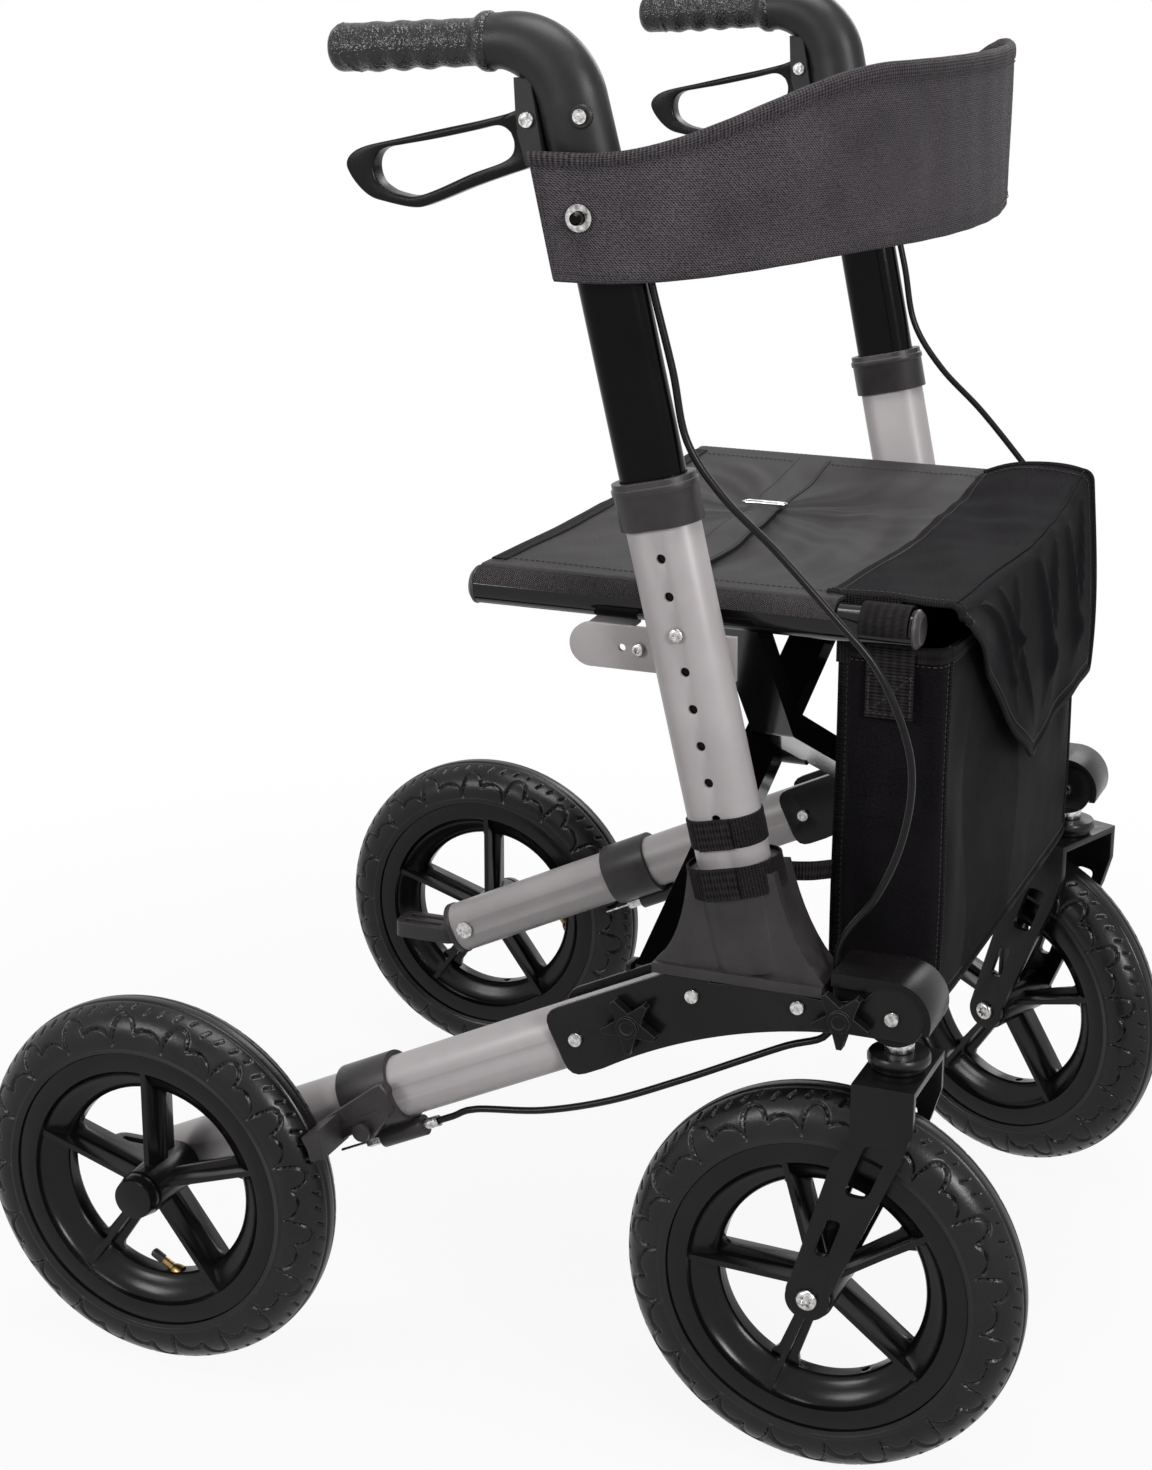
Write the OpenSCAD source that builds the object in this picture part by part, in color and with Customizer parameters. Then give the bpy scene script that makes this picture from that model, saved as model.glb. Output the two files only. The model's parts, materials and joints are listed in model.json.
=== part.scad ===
// All terrain rollator: two side frames joined by a folding cross brace, with handles
// that slide for height, hand brakes, a sling seat, a backrest band and a front bag.
// The origin is on the ground midway between the axles: +X forward, +Y to the user's left.

/* [Wheels] */
// Distance between the rear and front axles
wheel_base = 489; // [475:1:505]
// Outer diameter of each tyre
tyre_d = 280; // [270:1:290]
// Width of each tyre
tyre_w = 50; // [46:1:54]
// Wall of each tyre
tyre_wall = 4.5; // [3:0.5:6]
// Bead seat diameter of each rim
rim_d = 203; // [196:1:208]
// Height of the rim flange over the bead seat
flange_h = 4; // [2:0.5:5]
// Thickness of the rim flange
flange_t = 3.5; // [2.5:0.5:5]
// Depth of the well of each rim below the bead seat
well_h = 28.5; // [24:0.5:32]
// Number of spokes in each rim
spoke_count = 5; // [3:1:7]
// Axial depth of the rib of a spoke
spoke_depth = 36; // [28:1:40]
// Thickness of the rib and the web of a spoke
spoke_wall = 4; // [3:0.5:5]
// Diameter of each hub
hub_d = 34; // [28:1:40]
// Diameter of each axle
axle_d = 12; // [8:0.5:14]
// Gap between a rear tyre and its leg
wheel_gap = 4; // [3:0.5:10]

/* [Castors] */
// Distance of the front axle behind the castor stem
trail = 46; // [36:1:56]
// Gap between a front tyre and a fork blade
fork_gap = 8; // [5:0.5:12]
// Thickness of the fork plate
fork_t = 5; // [3:0.5:6]
// Gap between a front tyre and the fork crown
crown_gap = 16; // [10:1:24]
// Diameter of the castor stem
stem_d = 12; // [10:0.5:16]
// Height of the dust disc on the crown
disc_h = 12; // [8:1:16]
// How far the left castor is turned as it stands
left_turn = -21; // [-30:1:30]
// How far the right front wheel has rolled as it stands
right_roll = 16; // [0:1:72]

/* [Side frames] */
// Distance between the centre planes of the side frames
frame_track = 506; // [496:1:516]
// Height of the flat oval rear leg
leg_h = 45; // [41:1:48]
// Width of the flat oval rear leg
leg_w = 36; // [32:1:38]
// Wall of the rear leg
leg_wall = 2.5; // [1.5:0.5:3.5]
// Slope of the rear leg
leg_slope = 25.7; // [24.5:0.1:27]
// How much shorter a rear leg is than the distance between the axles
leg_short = 69; // [65:1:77]
// Thickness of a side plate
plate_t = 3; // [2:0.5:4]
// Radius of the arch under the side plates
arch_r = 372; // [340:1:420]
// Diameter of a frame screw head
screw_d = 9; // [7:0.5:11]
// Tip radius of a star knob
knob_r = 20; // [16:0.5:22]

/* [Uprights] */
// Distance of the foot of each upright behind the front axle
post_back = 50.5; // [46.5:0.5:54.5]
// Rearward lean of the uprights
post_lean = 12.7; // [11.5:0.1:13.5]
// Outward lean of the uprights
post_splay = 1.8; // [1:0.1:2.4]
// Long side of the flat oval lower tube
tube_l = 50; // [46:1:54]
// Short side of the flat oval lower tube
tube_w = 32; // [29:1:34]
// Wall of the lower tube
tube_wall = 2.5; // [1.5:0.5:3.5]
// Length of the lower tube above the side plates
tube_len = 340; // [336:1:350]
// Diameter of a height hole
hole_d = 6.5; // [5:0.5:8]
// Pitch of the height holes
hole_pitch = 25; // [22:1:26]
// Number of height holes
hole_count = 8; // [5:1:8]
// Height hole that holds the screw, counted from the top
hole_used = 3; // [1:1:5]

/* [Handles] */
// Height of the handle corner along the upright
elbow_h = 620; // [610:1:640]
// Bend radius of the elbow
elbow_r = 46; // [42:1:52]
// Length of a grip
grip_len = 110; // [95:1:125]
// Diameter of a grip
grip_d = 30; // [27:0.5:34]
// Downward tilt of the grips to the rear
grip_drop = 3.6; // [0:0.1:6]
// Width of a brake lever
lever_w = 15; // [12:0.5:17]

/* [Brakes] */
// Gap between a brake shoe and its tyre with the lever free
shoe_gap = 3; // [2.5:0.1:5]
// Length of the brake clamp on the leg
clamp_len = 42; // [36:1:48]
// Diameter of a brake cable
cable_d = 5; // [4:0.5:5.5]

/* [Brace and seat] */
// Diameter of a seat rail
rail_d = 25; // [22:0.5:28]
// Height of the seat rails above the ground
rail_z = 587; // [580:1:595]
// Distance between the seat rails
rail_track = 434; // [424:1:440]
// Length of a seat rail
rail_len = 303; // [296:1:310]
// Rear end of the seat rails
rail_x = -23; // [-30:1:-15]
// Depth of the seat
seat_depth = 252; // [240:1:258]
// Thickness of the seat cloth
seat_t = 2.5; // [1.5:0.5:4]
// Dip of the seat cloth between the rails
seat_dip = 10; // [4:1:20]
// Width of a brace bar along the frame
bar_w = 30; // [24:1:32]
// Depth of a brace bar
bar_t = 18; // [14:1:20]

/* [Bag and backrest] */
// Depth of the bag
bag_depth = 78; // [70:1:84]
// Width of the bag
bag_width = 416; // [400:1:420]
// Thickness of the bag cloth
bag_t = 3; // [2:0.5:4]
// Length of the flap over the front of the bag
flap_drop = 135; // [110:1:160]
// How far the backrest bulges forward of the uprights
band_reach = 176; // [165:1:190]
// Thickness of the padded backrest
band_t = 6; // [4:0.5:8]
// Height of the backrest at its middle
band_h = 115; // [100:1:125]
// Height of the backrest at its ends
band_end_h = 78; // [70:1:84]

/* [Hidden] */
$fn = 48;

// Fits: gap between pieces that are fixed together, between soft pieces and others, and in a running bore
fit = 0.2;
clear = 0.4;
run = 0.1;

// Places in the side view, as [x, z]
axle_z = tyre_d / 2;
rear_x = -wheel_base / 2;
front_x = wheel_base / 2;
castor_x = front_x + trail;
post_x = front_x - post_back;
leg_len = wheel_base - leg_short;
leg_screw = leg_len - 70;
crown_z = tyre_d + crown_gap + fork_t;
head_r = 21;
head_z = crown_z + disc_h + 9 + head_r;
post_z = head_z + 2;
leg_dir = [cos(leg_slope), sin(leg_slope)];
function leg_point(d) = [rear_x, axle_z] + d * leg_dir;
rear_eye = leg_point(leg_screw);
front_eye = [castor_x, head_z];
knob_rear_at = leg_point(leg_len - 24);
knob_front_at = [castor_x - 32, head_z - 3];
socket_screws = [[post_x - 40, post_z - 8], [post_x + 33, post_z - 4]];
plate_screws = [rear_eye, socket_screws[0], socket_screws[1], front_eye];
plate_top = post_z + 5;

// Places across the frame
frame_y = frame_track / 2;
plate_gap = leg_w + 2 * fit;
plate_out = plate_gap / 2 + plate_t;
rear_y = frame_y + leg_w / 2 + wheel_gap + tyre_w / 2;
rail_y = rail_track / 2;
pivot_y = frame_y - plate_out - 13;
pivot_z = head_z - 19;
cross_z = pivot_z + 102;

// Uprights: the direction of the tube and points along it
post_dir = [-sin(post_lean) * cos(post_splay), sin(post_splay), cos(post_lean) * cos(post_splay)];
function post_point(h) = [post_x, frame_y, post_z] + h * post_dir;
top_hole = tube_len - 45;
collar_h = 31;
stud_d = 8;
band_off = 9;
inner_l = tube_l - 2 * tube_wall - 2 * fit - run;
inner_w = tube_w - 2 * tube_wall - 2 * fit - run;
inner_top = elbow_h - 78;
stud_h = inner_top - 28;
height_screw = top_hole - (hole_used - 1) * hole_pitch;
height_up = (hole_used - 1) * hole_pitch;
height_down = (hole_count - hole_used) * hole_pitch;
socket_floor = 8;
inner_bottom = socket_floor + height_down + 7;

// Handles: the bend of the elbow in the plane of the grip
corner = post_point(elbow_h);
handle_y = corner[1];
bend = 90 - post_lean + grip_drop;
bend_run = elbow_r * tan(bend / 2);
tube_2d = [-sin(post_lean), cos(post_lean)];
bend_c = [corner[0], corner[2]] - bend_run * tube_2d - elbow_r * [cos(post_lean), sin(post_lean)];
function bend_point(a) = bend_c + elbow_r * [cos(post_lean + a), sin(post_lean + a)];
grip_dir = [-cos(grip_drop), -sin(grip_drop)];
grip_root = bend_point(bend) + 5 * grip_dir;
spigot_d = 20;
lever_pivot = bend_c + [elbow_r - 27, 0];
pivot_d = 6;
lever_hub_r = 7.5;
ear_t = 4;

// Brakes, in the plane of the leg: x along the leg from the axle, y up from it
clamp_at = 173;
clamp_wall = 4;
arm_pivot = [clamp_at - 2, -14];
arm_pin_d = 9;
arm_w = 14;
arm_y = leg_w / 2 + clamp_wall + 1.5;
horn_d = 15;
horn_y = 6;
horn_z = -leg_h / 2 - horn_d / 2 - 0.5;

// Cross brace: the left bar runs from the right pivot to the left rail, behind the right bar
left_bar_x = 110;
right_bar_x = 160;
bolt_d = 10;
bar_pin_d = 8;
knee_y = 129;
knee_z = cross_z + knee_y * (cross_z - pivot_z) / pivot_y;

// Brake cable, as it hangs in the plane of the side frame: [x, y outward from the frame, z]
function tube_front(z) = [
  post_x + (post_z - z) * tan(post_lean) + inner_l / 2 / cos(post_lean) + cable_d / 2 + 1,
  (z - post_z) * tan(post_splay), z
];
function cable_end(d) = [
  rear_x + d * leg_dir[0] - horn_z * leg_dir[1], horn_y, axle_z + d * leg_dir[1] + horn_z * leg_dir[0]
];
cable_gap_x = castor_x - 44;
cable_top = post_point(inner_top)[2];
collar_z = post_point(tube_len + 5)[2];
cable_route = [
  tube_front(cable_top - 5.4), tube_front(cable_top - 33.4), tube_front((cable_top + collar_z) / 2 + 22.6),
  tube_front(collar_z + (cable_top - collar_z) * 0.357) + [2, 0, 0],
  tube_front(collar_z + 24.6) + [2.1, 0.7, 0], tube_front(collar_z - 9.4) + [18.4, -0.3, 0],
  [post_x + 6, 8, 640], [post_x + 44, 4, 600], [post_x + 72, 0, 568], [post_x + 91, -4, 525],
  [post_x + 96, -5, 490], [post_x + 90, -4, 450], [post_x + 76, -2, 415],
  [cable_gap_x + 7, 0, head_z + 48], [cable_gap_x + 0.5, 0, head_z + 32],
  [cable_gap_x, 0, head_z + 15], [cable_gap_x, 0, head_z - 3], [cable_gap_x, 0, head_z - 15],
  [cable_gap_x - 8, 0, head_z - 30], [cable_gap_x - 32.5, 0, head_z - 40],
  [cable_gap_x - 66.5, 1, head_z - 57],
  [cable_gap_x - 106.5, 3, head_z - 77], [cable_gap_x - 156.5, 5, head_z - 100],
  [cable_gap_x - 206.5, 6, head_z - 116], cable_end(245), cable_end(225), cable_end(206)
];

rubber = [0.07, 0.07, 0.07];
plastic = [0.11, 0.11, 0.12];
black_paint = [0.09, 0.09, 0.1];
grey_paint = [0.6, 0.59, 0.6];
steel = [0.78, 0.78, 0.8];
cloth = [0.13, 0.13, 0.14];

// General shapes

module side(s) {
  if (s > 0) children();
  else mirror([0, 1, 0]) children();
}

// Draws its children, outlined in the side view, as a plate of thickness t centred at y
module upright_plate(y, t) {
  translate([0, y + t / 2, 0]) rotate([90, 0, 0]) linear_extrude(t) children();
}

module oval(l, w) {
  square([l - w, w], center = true);
  for (e = [-1, 1]) translate([e * (l - w) / 2, 0]) circle(d = w);
}

function unit(v) = v / norm(v);

function bezier(a, b, c, n) = [
  for (i = [0 : n]) let (t = i / n) (1 - t) ^ 2 * a + 2 * t * (1 - t) * b + t ^ 2 * c
];

// Outline with each corner rounded from r before it to r after it
function rounded(p, r, n = 4) = [
  for (i = [0 : len(p) - 1])
    let (b = p[i], a = p[(i + len(p) - 1) % len(p)], c = p[(i + 1) % len(p)])
    each bezier(b + r * unit(a - b), b, b + r * unit(c - b), n)
];

// Closed skin over a row of rings that have the same number of points
module loft(rings) {
  n = len(rings[0]);
  m = len(rings);
  polyhedron(
    points = [for (r = rings) each r],
    faces = concat(
      [[for (i = [0 : n - 1]) i]],
      [for (j = [0 : m - 2], i = [0 : n - 1]) each let (k = (i + 1) % n)
        [[j * n + i, (j + 1) * n + k, j * n + k], [j * n + i, (j + 1) * n + i, (j + 1) * n + k]]],
      [[for (i = [n - 1 : -1 : 0]) (m - 1) * n + i]]
    )
  );
}

// Points of a smooth curve through p, with n steps between neighbours
function smooth(p, n) = concat([
  for (i = [0 : len(p) - 2], k = [0 : n - 1])
    let (a = p[max(i - 1, 0)], b = p[i], c = p[i + 1], d = p[min(i + 2, len(p) - 1)], t = k / n)
    b + t * (c - a) / 2 + t ^ 2 * (a - 2.5 * b + 2 * c - d / 2) + t ^ 3 * (1.5 * b - 1.5 * c + d / 2 - a / 2)
], [p[len(p) - 1]]);

// Rings of a round cord along path
function cord_rings(path, d, n) = [
  for (i = [0 : len(path) - 1])
    let (
      t = unit(path[min(i + 1, len(path) - 1)] - path[max(i - 1, 0)]),
      u = unit(cross([0, 1, 0], t)),
      v = cross(t, u)
    )
    [for (k = [0 : n - 1]) path[i] + d / 2 * (cos(360 * k / n) * u + sin(360 * k / n) * v)]
];

module screw(d, l) {
  cylinder(d = d, h = 2.5);
  translate([0, 0, -l]) cylinder(d = d / 2, h = l);
}

// Places: the leg with x along it, the upright with z along it, and the castor on its stem

module on_leg(s) {
  side(s) translate([rear_x, frame_y, axle_z]) rotate([0, -leg_slope, 0]) children();
}

module on_post(s) {
  side(s) translate([post_x, frame_y, post_z]) rotate([-post_splay, -post_lean, 0]) children();
}

module on_castor(s) {
  side(s) translate([castor_x, frame_y, 0]) rotate([0, 0, s > 0 ? left_turn : 0]) children();
}

// Wheels, about the Y axis

module tyre_ring() {
  bead_w = tyre_w - 13;
  r = rim_d / 2 + fit;
  rotate([90, 0, 0]) rotate_extrude($fn = 96) difference() {
    translate([(tyre_d - tyre_w) / 2, 0]) circle(d = tyre_w);
    translate([(tyre_d - tyre_w) / 2, 0]) circle(d = tyre_w - 2 * tyre_wall);
    translate([0, -tyre_w]) square([r, 2 * tyre_w]);
    for (e = [0, 1]) mirror([0, e]) translate([0, bead_w / 2 - fit]) square([r + flange_h, tyre_w]);
  }
}

valve_angle = 80;

module valve() {
  rotate([0, valve_angle, 0]) translate([rim_d / 2 - well_h - 22, 0, 0]) rotate([0, 90, 0]) {
    cylinder(d = 8, h = 12);
    cylinder(d = 6, h = well_h + 21.5);
  }
}

module spoke_web() {
  r0 = hub_d / 2 - 3;
  r1 = rim_d / 2 - well_h + 2;
  polygon([[r0, -6], [r1 - 9, -7.5], [r1, -12], [r1, 12], [r1 - 9, 7.5], [r0, 6]]);
}

module well_section() {
  seat = rim_d / 2;
  low = seat - well_h;
  half = (tyre_w - 13) / 2;
  edge = half + flange_t;
  polygon([
    [low, 0], [low, 5], [low + 1.5, 7.5], [low + 5, half - 8.7], [low + 11, half - 6],
    [seat - 12.5, half - 2.5], [seat - 10.5, half + 0.5], [seat - 10, edge],
    [seat + flange_h - fit, edge], [seat + flange_h - fit, half], [seat, half], [seat, 0],
  ]);
}

module well_cavity() {
  seat = rim_d / 2;
  low = seat - well_h;
  half = (tyre_w - 13) / 2;
  polygon([
    [seat + 1, 0], [seat + 1, half - 4.3], [seat, half - 4.3], [seat - 4.5, half - 5.5],
    [seat - 11.5, half - 8], [low + 9, half - 11.5], [low + 5.5, 5], [low + 4, 3.5], [low + 4, 0],
  ]);
}

module rim(hub_in, hub_out) {
  rib_in = hub_d / 2 - 3;
  difference() {
    union() {
      rotate([90, 0, 0]) rotate_extrude($fn = 96)
        for (e = [0, 1]) mirror([0, e]) well_section();
      rotate([90, 0, 0]) for (i = [0 : spoke_count - 1]) rotate(360 * (i + 0.25) / spoke_count) {
        linear_extrude(spoke_wall, center = true) spoke_web();
        translate([rib_in, -spoke_wall / 2, -spoke_depth / 2])
          cube([rim_d / 2 - 9 - rib_in, spoke_wall, spoke_depth]);
      }
      translate([0, -hub_in, 0]) rotate([-90, 0, 0]) cylinder(d = hub_d, h = hub_in + hub_out);
    }
    rotate([90, 0, 0]) rotate_extrude($fn = 96) for (e = [0, 1]) mirror([0, e]) well_cavity();
    rotate([90, 0, 0]) cylinder(d = axle_d + run, h = 4 * tyre_w, center = true);
    rotate([0, valve_angle, 0]) rotate([0, 90, 0]) cylinder(d = 6 + 2 * fit, h = rim_d);
  }
}

// Rear wheels

rear_hub_in = tyre_w / 2 + wheel_gap - 1.5;
rear_hub_out = 27;

module at_rear_wheel(s) { side(s) translate([rear_x, rear_y, axle_z]) children(); }

module rear_tyre(s) {
  color(rubber) at_rear_wheel(s) {
    tyre_ring();
    valve();
  }
}

module rear_rim(s) {
  color(plastic) at_rear_wheel(s) {
    rim(rear_hub_in, rear_hub_out);
    translate([0, rear_hub_out, 0]) rotate([-90, 0, 0]) {
      cylinder(d = hub_d - 6, h = 3);
      translate([0, 0, 3]) cylinder(d1 = hub_d - 1, d2 = hub_d - 5, h = 9);
    }
  }
}

// Castors

blade_y = tyre_w / 2 + fork_gap;

module fork_outline() {
  axle = [-trail, axle_z];
  top = crown_z - fork_t;
  difference() {
    union() {
      polygon([
        [-21, top], [21, top], [21, top - 22], [14, top - 46],
        axle + [15, 4], axle + [-15, 4], [-33, top - 55], [-21, top - 32]
      ]);
      translate(axle) circle(r = 15.5);
    }
    polygon(rounded([[-10, top - 36], [7, top - 37], [-8, top - 76], [-24, top - 75]], 6));
    polygon(rounded([axle + [12, 62], axle + [22, 61], axle + [13, 33], axle + [3, 34]], 4));
    translate(axle) circle(d = axle_d + 2 * fit);
  }
}

module castor_fork(s) {
  color(black_paint) on_castor(s) {
    for (e = [-1, 1]) upright_plate(e * (blade_y + fork_t / 2), fork_t) fork_outline();
    difference() {
      translate([-21, -blade_y - fork_t, crown_z - fork_t]) cube([42, 2 * (blade_y + fork_t), fork_t]);
      translate([0, 0, crown_z - 2 * fork_t]) cylinder(d = stem_d + 2 * fit, h = 3 * fork_t);
    }
  }
}

module castor_bearing(s) {
  disc_z = crown_z + fit;
  head_gap = head_z - head_r - crown_z - disc_h;
  axle_len = 2 * (blade_y + fork_t);
  color(steel) on_castor(s) {
    difference() {
      translate([0, 0, disc_z]) {
        cylinder(d = 36, h = 4);
        translate([0, 0, 4]) cylinder(d = 42, h = disc_h - 4 - fit);
      }
      translate([0, 0, crown_z]) cylinder(d = stem_d + 2 * fit, h = disc_h);
    }
    translate([0, 0, crown_z - fork_t]) cylinder(d = stem_d, h = head_z + 12 - crown_z + fork_t);
    translate([0, 0, crown_z + disc_h]) cylinder(d = stem_d + 8, h = head_gap - fit);
    translate([-trail, 0, axle_z]) rotate([90, 0, 0]) {
      cylinder(d = axle_d, h = axle_len + 1, center = true);
      for (e = [0, 1]) mirror([0, 0, e]) translate([0, 0, axle_len / 2 + fit])
        cylinder(d = axle_d + 3, h = 4);
    }
  }
}

module at_front_wheel(s) {
  on_castor(s) translate([-trail, 0, axle_z]) rotate([0, s > 0 ? 0 : -right_roll, 0]) children();
}

module front_tyre(s) {
  color(rubber) at_front_wheel(s) {
    tyre_ring();
    valve();
  }
}

module front_rim(s) {
  hub_half = blade_y - 1;
  color(plastic) at_front_wheel(s) rim(hub_half, hub_half);
}

// Side frames: two plates that hold the leg, the foot of the upright and the castor head

module plate_outline() {
  difference() {
    union() {
      translate(rear_eye) rotate(leg_slope)
        polygon(rounded([[-16, -25], [110, -25], [110, 25], [-16, 25]], 12));
      polygon([
        leg_point(leg_len - 40) - [0, 30], [castor_x, head_z - 60], [castor_x, head_z + 15],
        [castor_x - 40, plate_top - 2], [post_x, plate_top], leg_point(leg_len) + [0, 24]
      ]);
      translate(front_eye) circle(r = head_r);
    }
    translate([castor_x - 6, head_z - 15 - arch_r]) circle(r = arch_r, $fn = 180);
    translate([post_x - 300, plate_top]) square([300, 100]);
    for (p = plate_screws) translate(p) circle(d = screw_d / 2 + 2 * fit);
  }
}

// Ears on the inner plate that carry the foot of a brace bar
module brace_ears(x) {
  ear = 4;
  wall_y = frame_y - plate_out;
  for (e = [-1, 1]) translate([x + e * (bar_w / 2 + 1 + ear / 2), 0, 0])
    rotate([90, 0, 90]) linear_extrude(ear, center = true) difference() {
      union() {
        translate([pivot_y, pivot_z]) circle(d = 20);
        translate([pivot_y, pivot_z - 10]) square([wall_y - pivot_y, 20]);
      }
      translate([pivot_y, pivot_z]) circle(d = bar_pin_d + 2 * fit);
    }
}

module side_plates(s) {
  color(black_paint) side(s) {
    difference() {
      upright_plate(frame_y + plate_out - plate_t / 2, plate_t) plate_outline();
      for (p = [knob_rear_at, knob_front_at])
        translate([p[0], frame_y, p[1]]) rotate([-90, 0, 0]) cylinder(d = stud_d + run, h = 60);
    }
    upright_plate(frame_y - plate_out + plate_t / 2, plate_t) plate_outline();
    brace_ears(s > 0 ? right_bar_x : left_bar_x);
  }
}

// Foot of the upright: a sleeve on a flared skirt, with a tongue between the side plates

module skirt_outline() {
  foot = plate_top + 0.5;
  rear = post_x - 68;
  front = castor_x - 47;
  polygon(concat(
    [[rear, foot], [front, foot]],
    bezier([front, foot + 7], [front - 24, foot + 30], [post_x + 13, post_z + 84], 8),
    bezier([post_x - 46, post_z + 78], [post_x - 48, post_z + 30], [rear, foot + 7], 8)
  ));
}

module post_socket(s) {
  tongue_l = leg_point(leg_len)[0] + 14;
  tongue_r = castor_x - 49;
  lip_w = 2 * plate_out + 5;
  color(plastic) difference() {
    union() {
      side(s) upright_plate(frame_y, plate_gap) skirt_outline();
      side(s) translate([post_x - 68, frame_y - lip_w / 2, plate_top + 0.5])
        cube([castor_x - 47 - post_x + 68, lip_w, 7]);
      side(s) translate([tongue_l, frame_y - leg_w / 2, post_z - 18])
        cube([tongue_r - tongue_l, leg_w, 24 + 5]);
      on_post(s) translate([0, 0, 13]) linear_extrude(73) oval(tube_l + 9, tube_w + 9);
      on_post(s) translate([0, 0, 80]) linear_extrude(6) oval(tube_l + 13, tube_w + 13);
    }
    on_post(s) translate([0, 0, socket_floor]) linear_extrude(100) oval(tube_l + 2 * fit, tube_w + 2 * fit);
    for (p = socket_screws) side(s) translate([p[0], frame_y, p[1]])
      rotate([90, 0, 0]) cylinder(d = screw_d / 2 + 2 * fit, h = 60, center = true);
  }
}

// Uprights

module height_holes() {
  for (i = [0 : hole_count - 1]) translate([0, 0, top_hole - i * hole_pitch])
    rotate([-90, 0, 0]) cylinder(d = hole_d, h = tube_w);
}

module lower_tube(s) {
  color(grey_paint) on_post(s) difference() {
    translate([0, 0, socket_floor + fit]) linear_extrude(tube_len - socket_floor) oval(tube_l, tube_w);
    linear_extrude(tube_len + 20) oval(tube_l - 2 * tube_wall, tube_w - 2 * tube_wall);
    height_holes();
  }
}

module collar(s) {
  lip = 5;
  color(plastic) on_post(s) translate([0, 0, tube_len + fit + lip - collar_h]) difference() {
    union() {
      linear_extrude(collar_h) oval(tube_l + 6, tube_w + 6);
      translate([0, 0, collar_h - 8]) linear_extrude(4) oval(tube_l + 8, tube_w + 8);
    }
    translate([0, 0, -1]) linear_extrude(collar_h + 1 - lip + fit) oval(tube_l + 2 * fit, tube_w + 2 * fit);
    linear_extrude(collar_h + 10) oval(inner_l + 2 * clear, inner_w + 2 * clear);
  }
}

// Bracket on the inside of the upright that takes the seat rail
arm_back = 92;
bracket_drop = 26;
bracket_holes = [37 - arm_back, 49 - arm_back];
bracket_hole_d = 5;

module on_bracket(s) {
  on_post(s) translate([0, 0, (rail_z - bracket_drop - post_z) / post_dir[2]])
    rotate([0, post_lean, 0]) children();
}

module seat_bracket(s) {
  arm_front = 24;
  high = 30;
  ledge_in = 34;
  wall = tube_w / 2 + fit;
  color(grey_paint) on_bracket(s) {
    difference() {
      translate([0, -wall - 3, 0]) rotate([-90, 0, 0]) linear_extrude(3) union() {
        translate([-arm_back + high / 2, -high / 2]) square([arm_back + arm_front - high / 2, high]);
        translate([-arm_back + high / 2, 0]) circle(d = high);
      }
      for (x = bracket_holes) translate([x, 0, 0]) rotate([90, 0, 0]) cylinder(d = bracket_hole_d, h = 60);
    }
    translate([8 - arm_back, -wall - ledge_in, bracket_drop - rail_d / 2 - 5.4]) cube([30, ledge_in, 3]);
  }
}

// Rear legs

module leg_section(grow) {
  rotate([90, 0, 90]) linear_extrude(leg_len) rotate(90) oval(leg_h + 2 * grow, leg_w + 2 * grow);
}

leg_tail = 13;

module rear_leg(s) {
  color(grey_paint) on_leg(s) difference() {
    translate([-leg_tail, 0, 0]) rotate([90, 0, 90]) linear_extrude(leg_len + leg_tail)
      rotate(90) oval(leg_h, leg_w);
    translate([-leg_len / 2, 0, 0]) rotate([90, 0, 90]) linear_extrude(2 * leg_len)
      rotate(90) oval(leg_h - 2 * leg_wall, leg_w - 2 * leg_wall);
    rotate([90, 0, 0]) cylinder(d = axle_d + 2 * fit, h = 60, center = true);
    translate([leg_screw, 0, 0]) rotate([90, 0, 0])
      cylinder(d = screw_d / 2 + 2 * fit, h = 60, center = true);
    translate([leg_len - 24, 0, 0]) rotate([-90, 0, 0]) cylinder(d = stud_d + run, h = 60);
  }
}

// End plug of the leg with the tipping pedal
module leg_end(s) {
  plug = 34;
  pedal_l = 60;
  pedal_w = 32;
  color(plastic) difference() {
    union() {
      on_leg(s) translate([-leg_tail - 5, 0, 0]) rotate([90, 0, 90]) {
        linear_extrude(5 - fit) rotate(90) oval(leg_h + 2, leg_w + 2);
        linear_extrude(plug) rotate(90)
          oval(leg_h - 2 * leg_wall - 2 * fit, leg_w - 2 * leg_wall - 2 * fit);
      }
      side(s) translate([rear_x - leg_tail - pedal_l, frame_y - pedal_w / 2, axle_z - 16]) difference() {
        translate([0, 0, -2]) linear_extrude(14)
          polygon(rounded([[0, 0], [pedal_l, 0], [pedal_l, pedal_w], [0, pedal_w]], 10));
        for (y = [6, 19]) translate([8, y, 5]) cube([pedal_l - 24, 7, 20]);
      }
    }
    on_leg(s) rotate([90, 0, 0]) cylinder(d = axle_d + 2 * fit, h = 60, center = true);
    on_leg(s) translate([0.1 - leg_tail, 0, 0]) difference() {
      rotate([90, 0, 90]) linear_extrude(plug) rotate(90) oval(leg_h + 40, leg_w + 40);
      translate([-1, 0, 0]) rotate([90, 0, 90]) linear_extrude(plug + 2)
        rotate(90) oval(leg_h - 2 * leg_wall - 2 * fit, leg_w - 2 * leg_wall - 2 * fit);
    }
  }
}

// Brakes: a clamp on the leg with the cable horn, and the arm with its shoe

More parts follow.
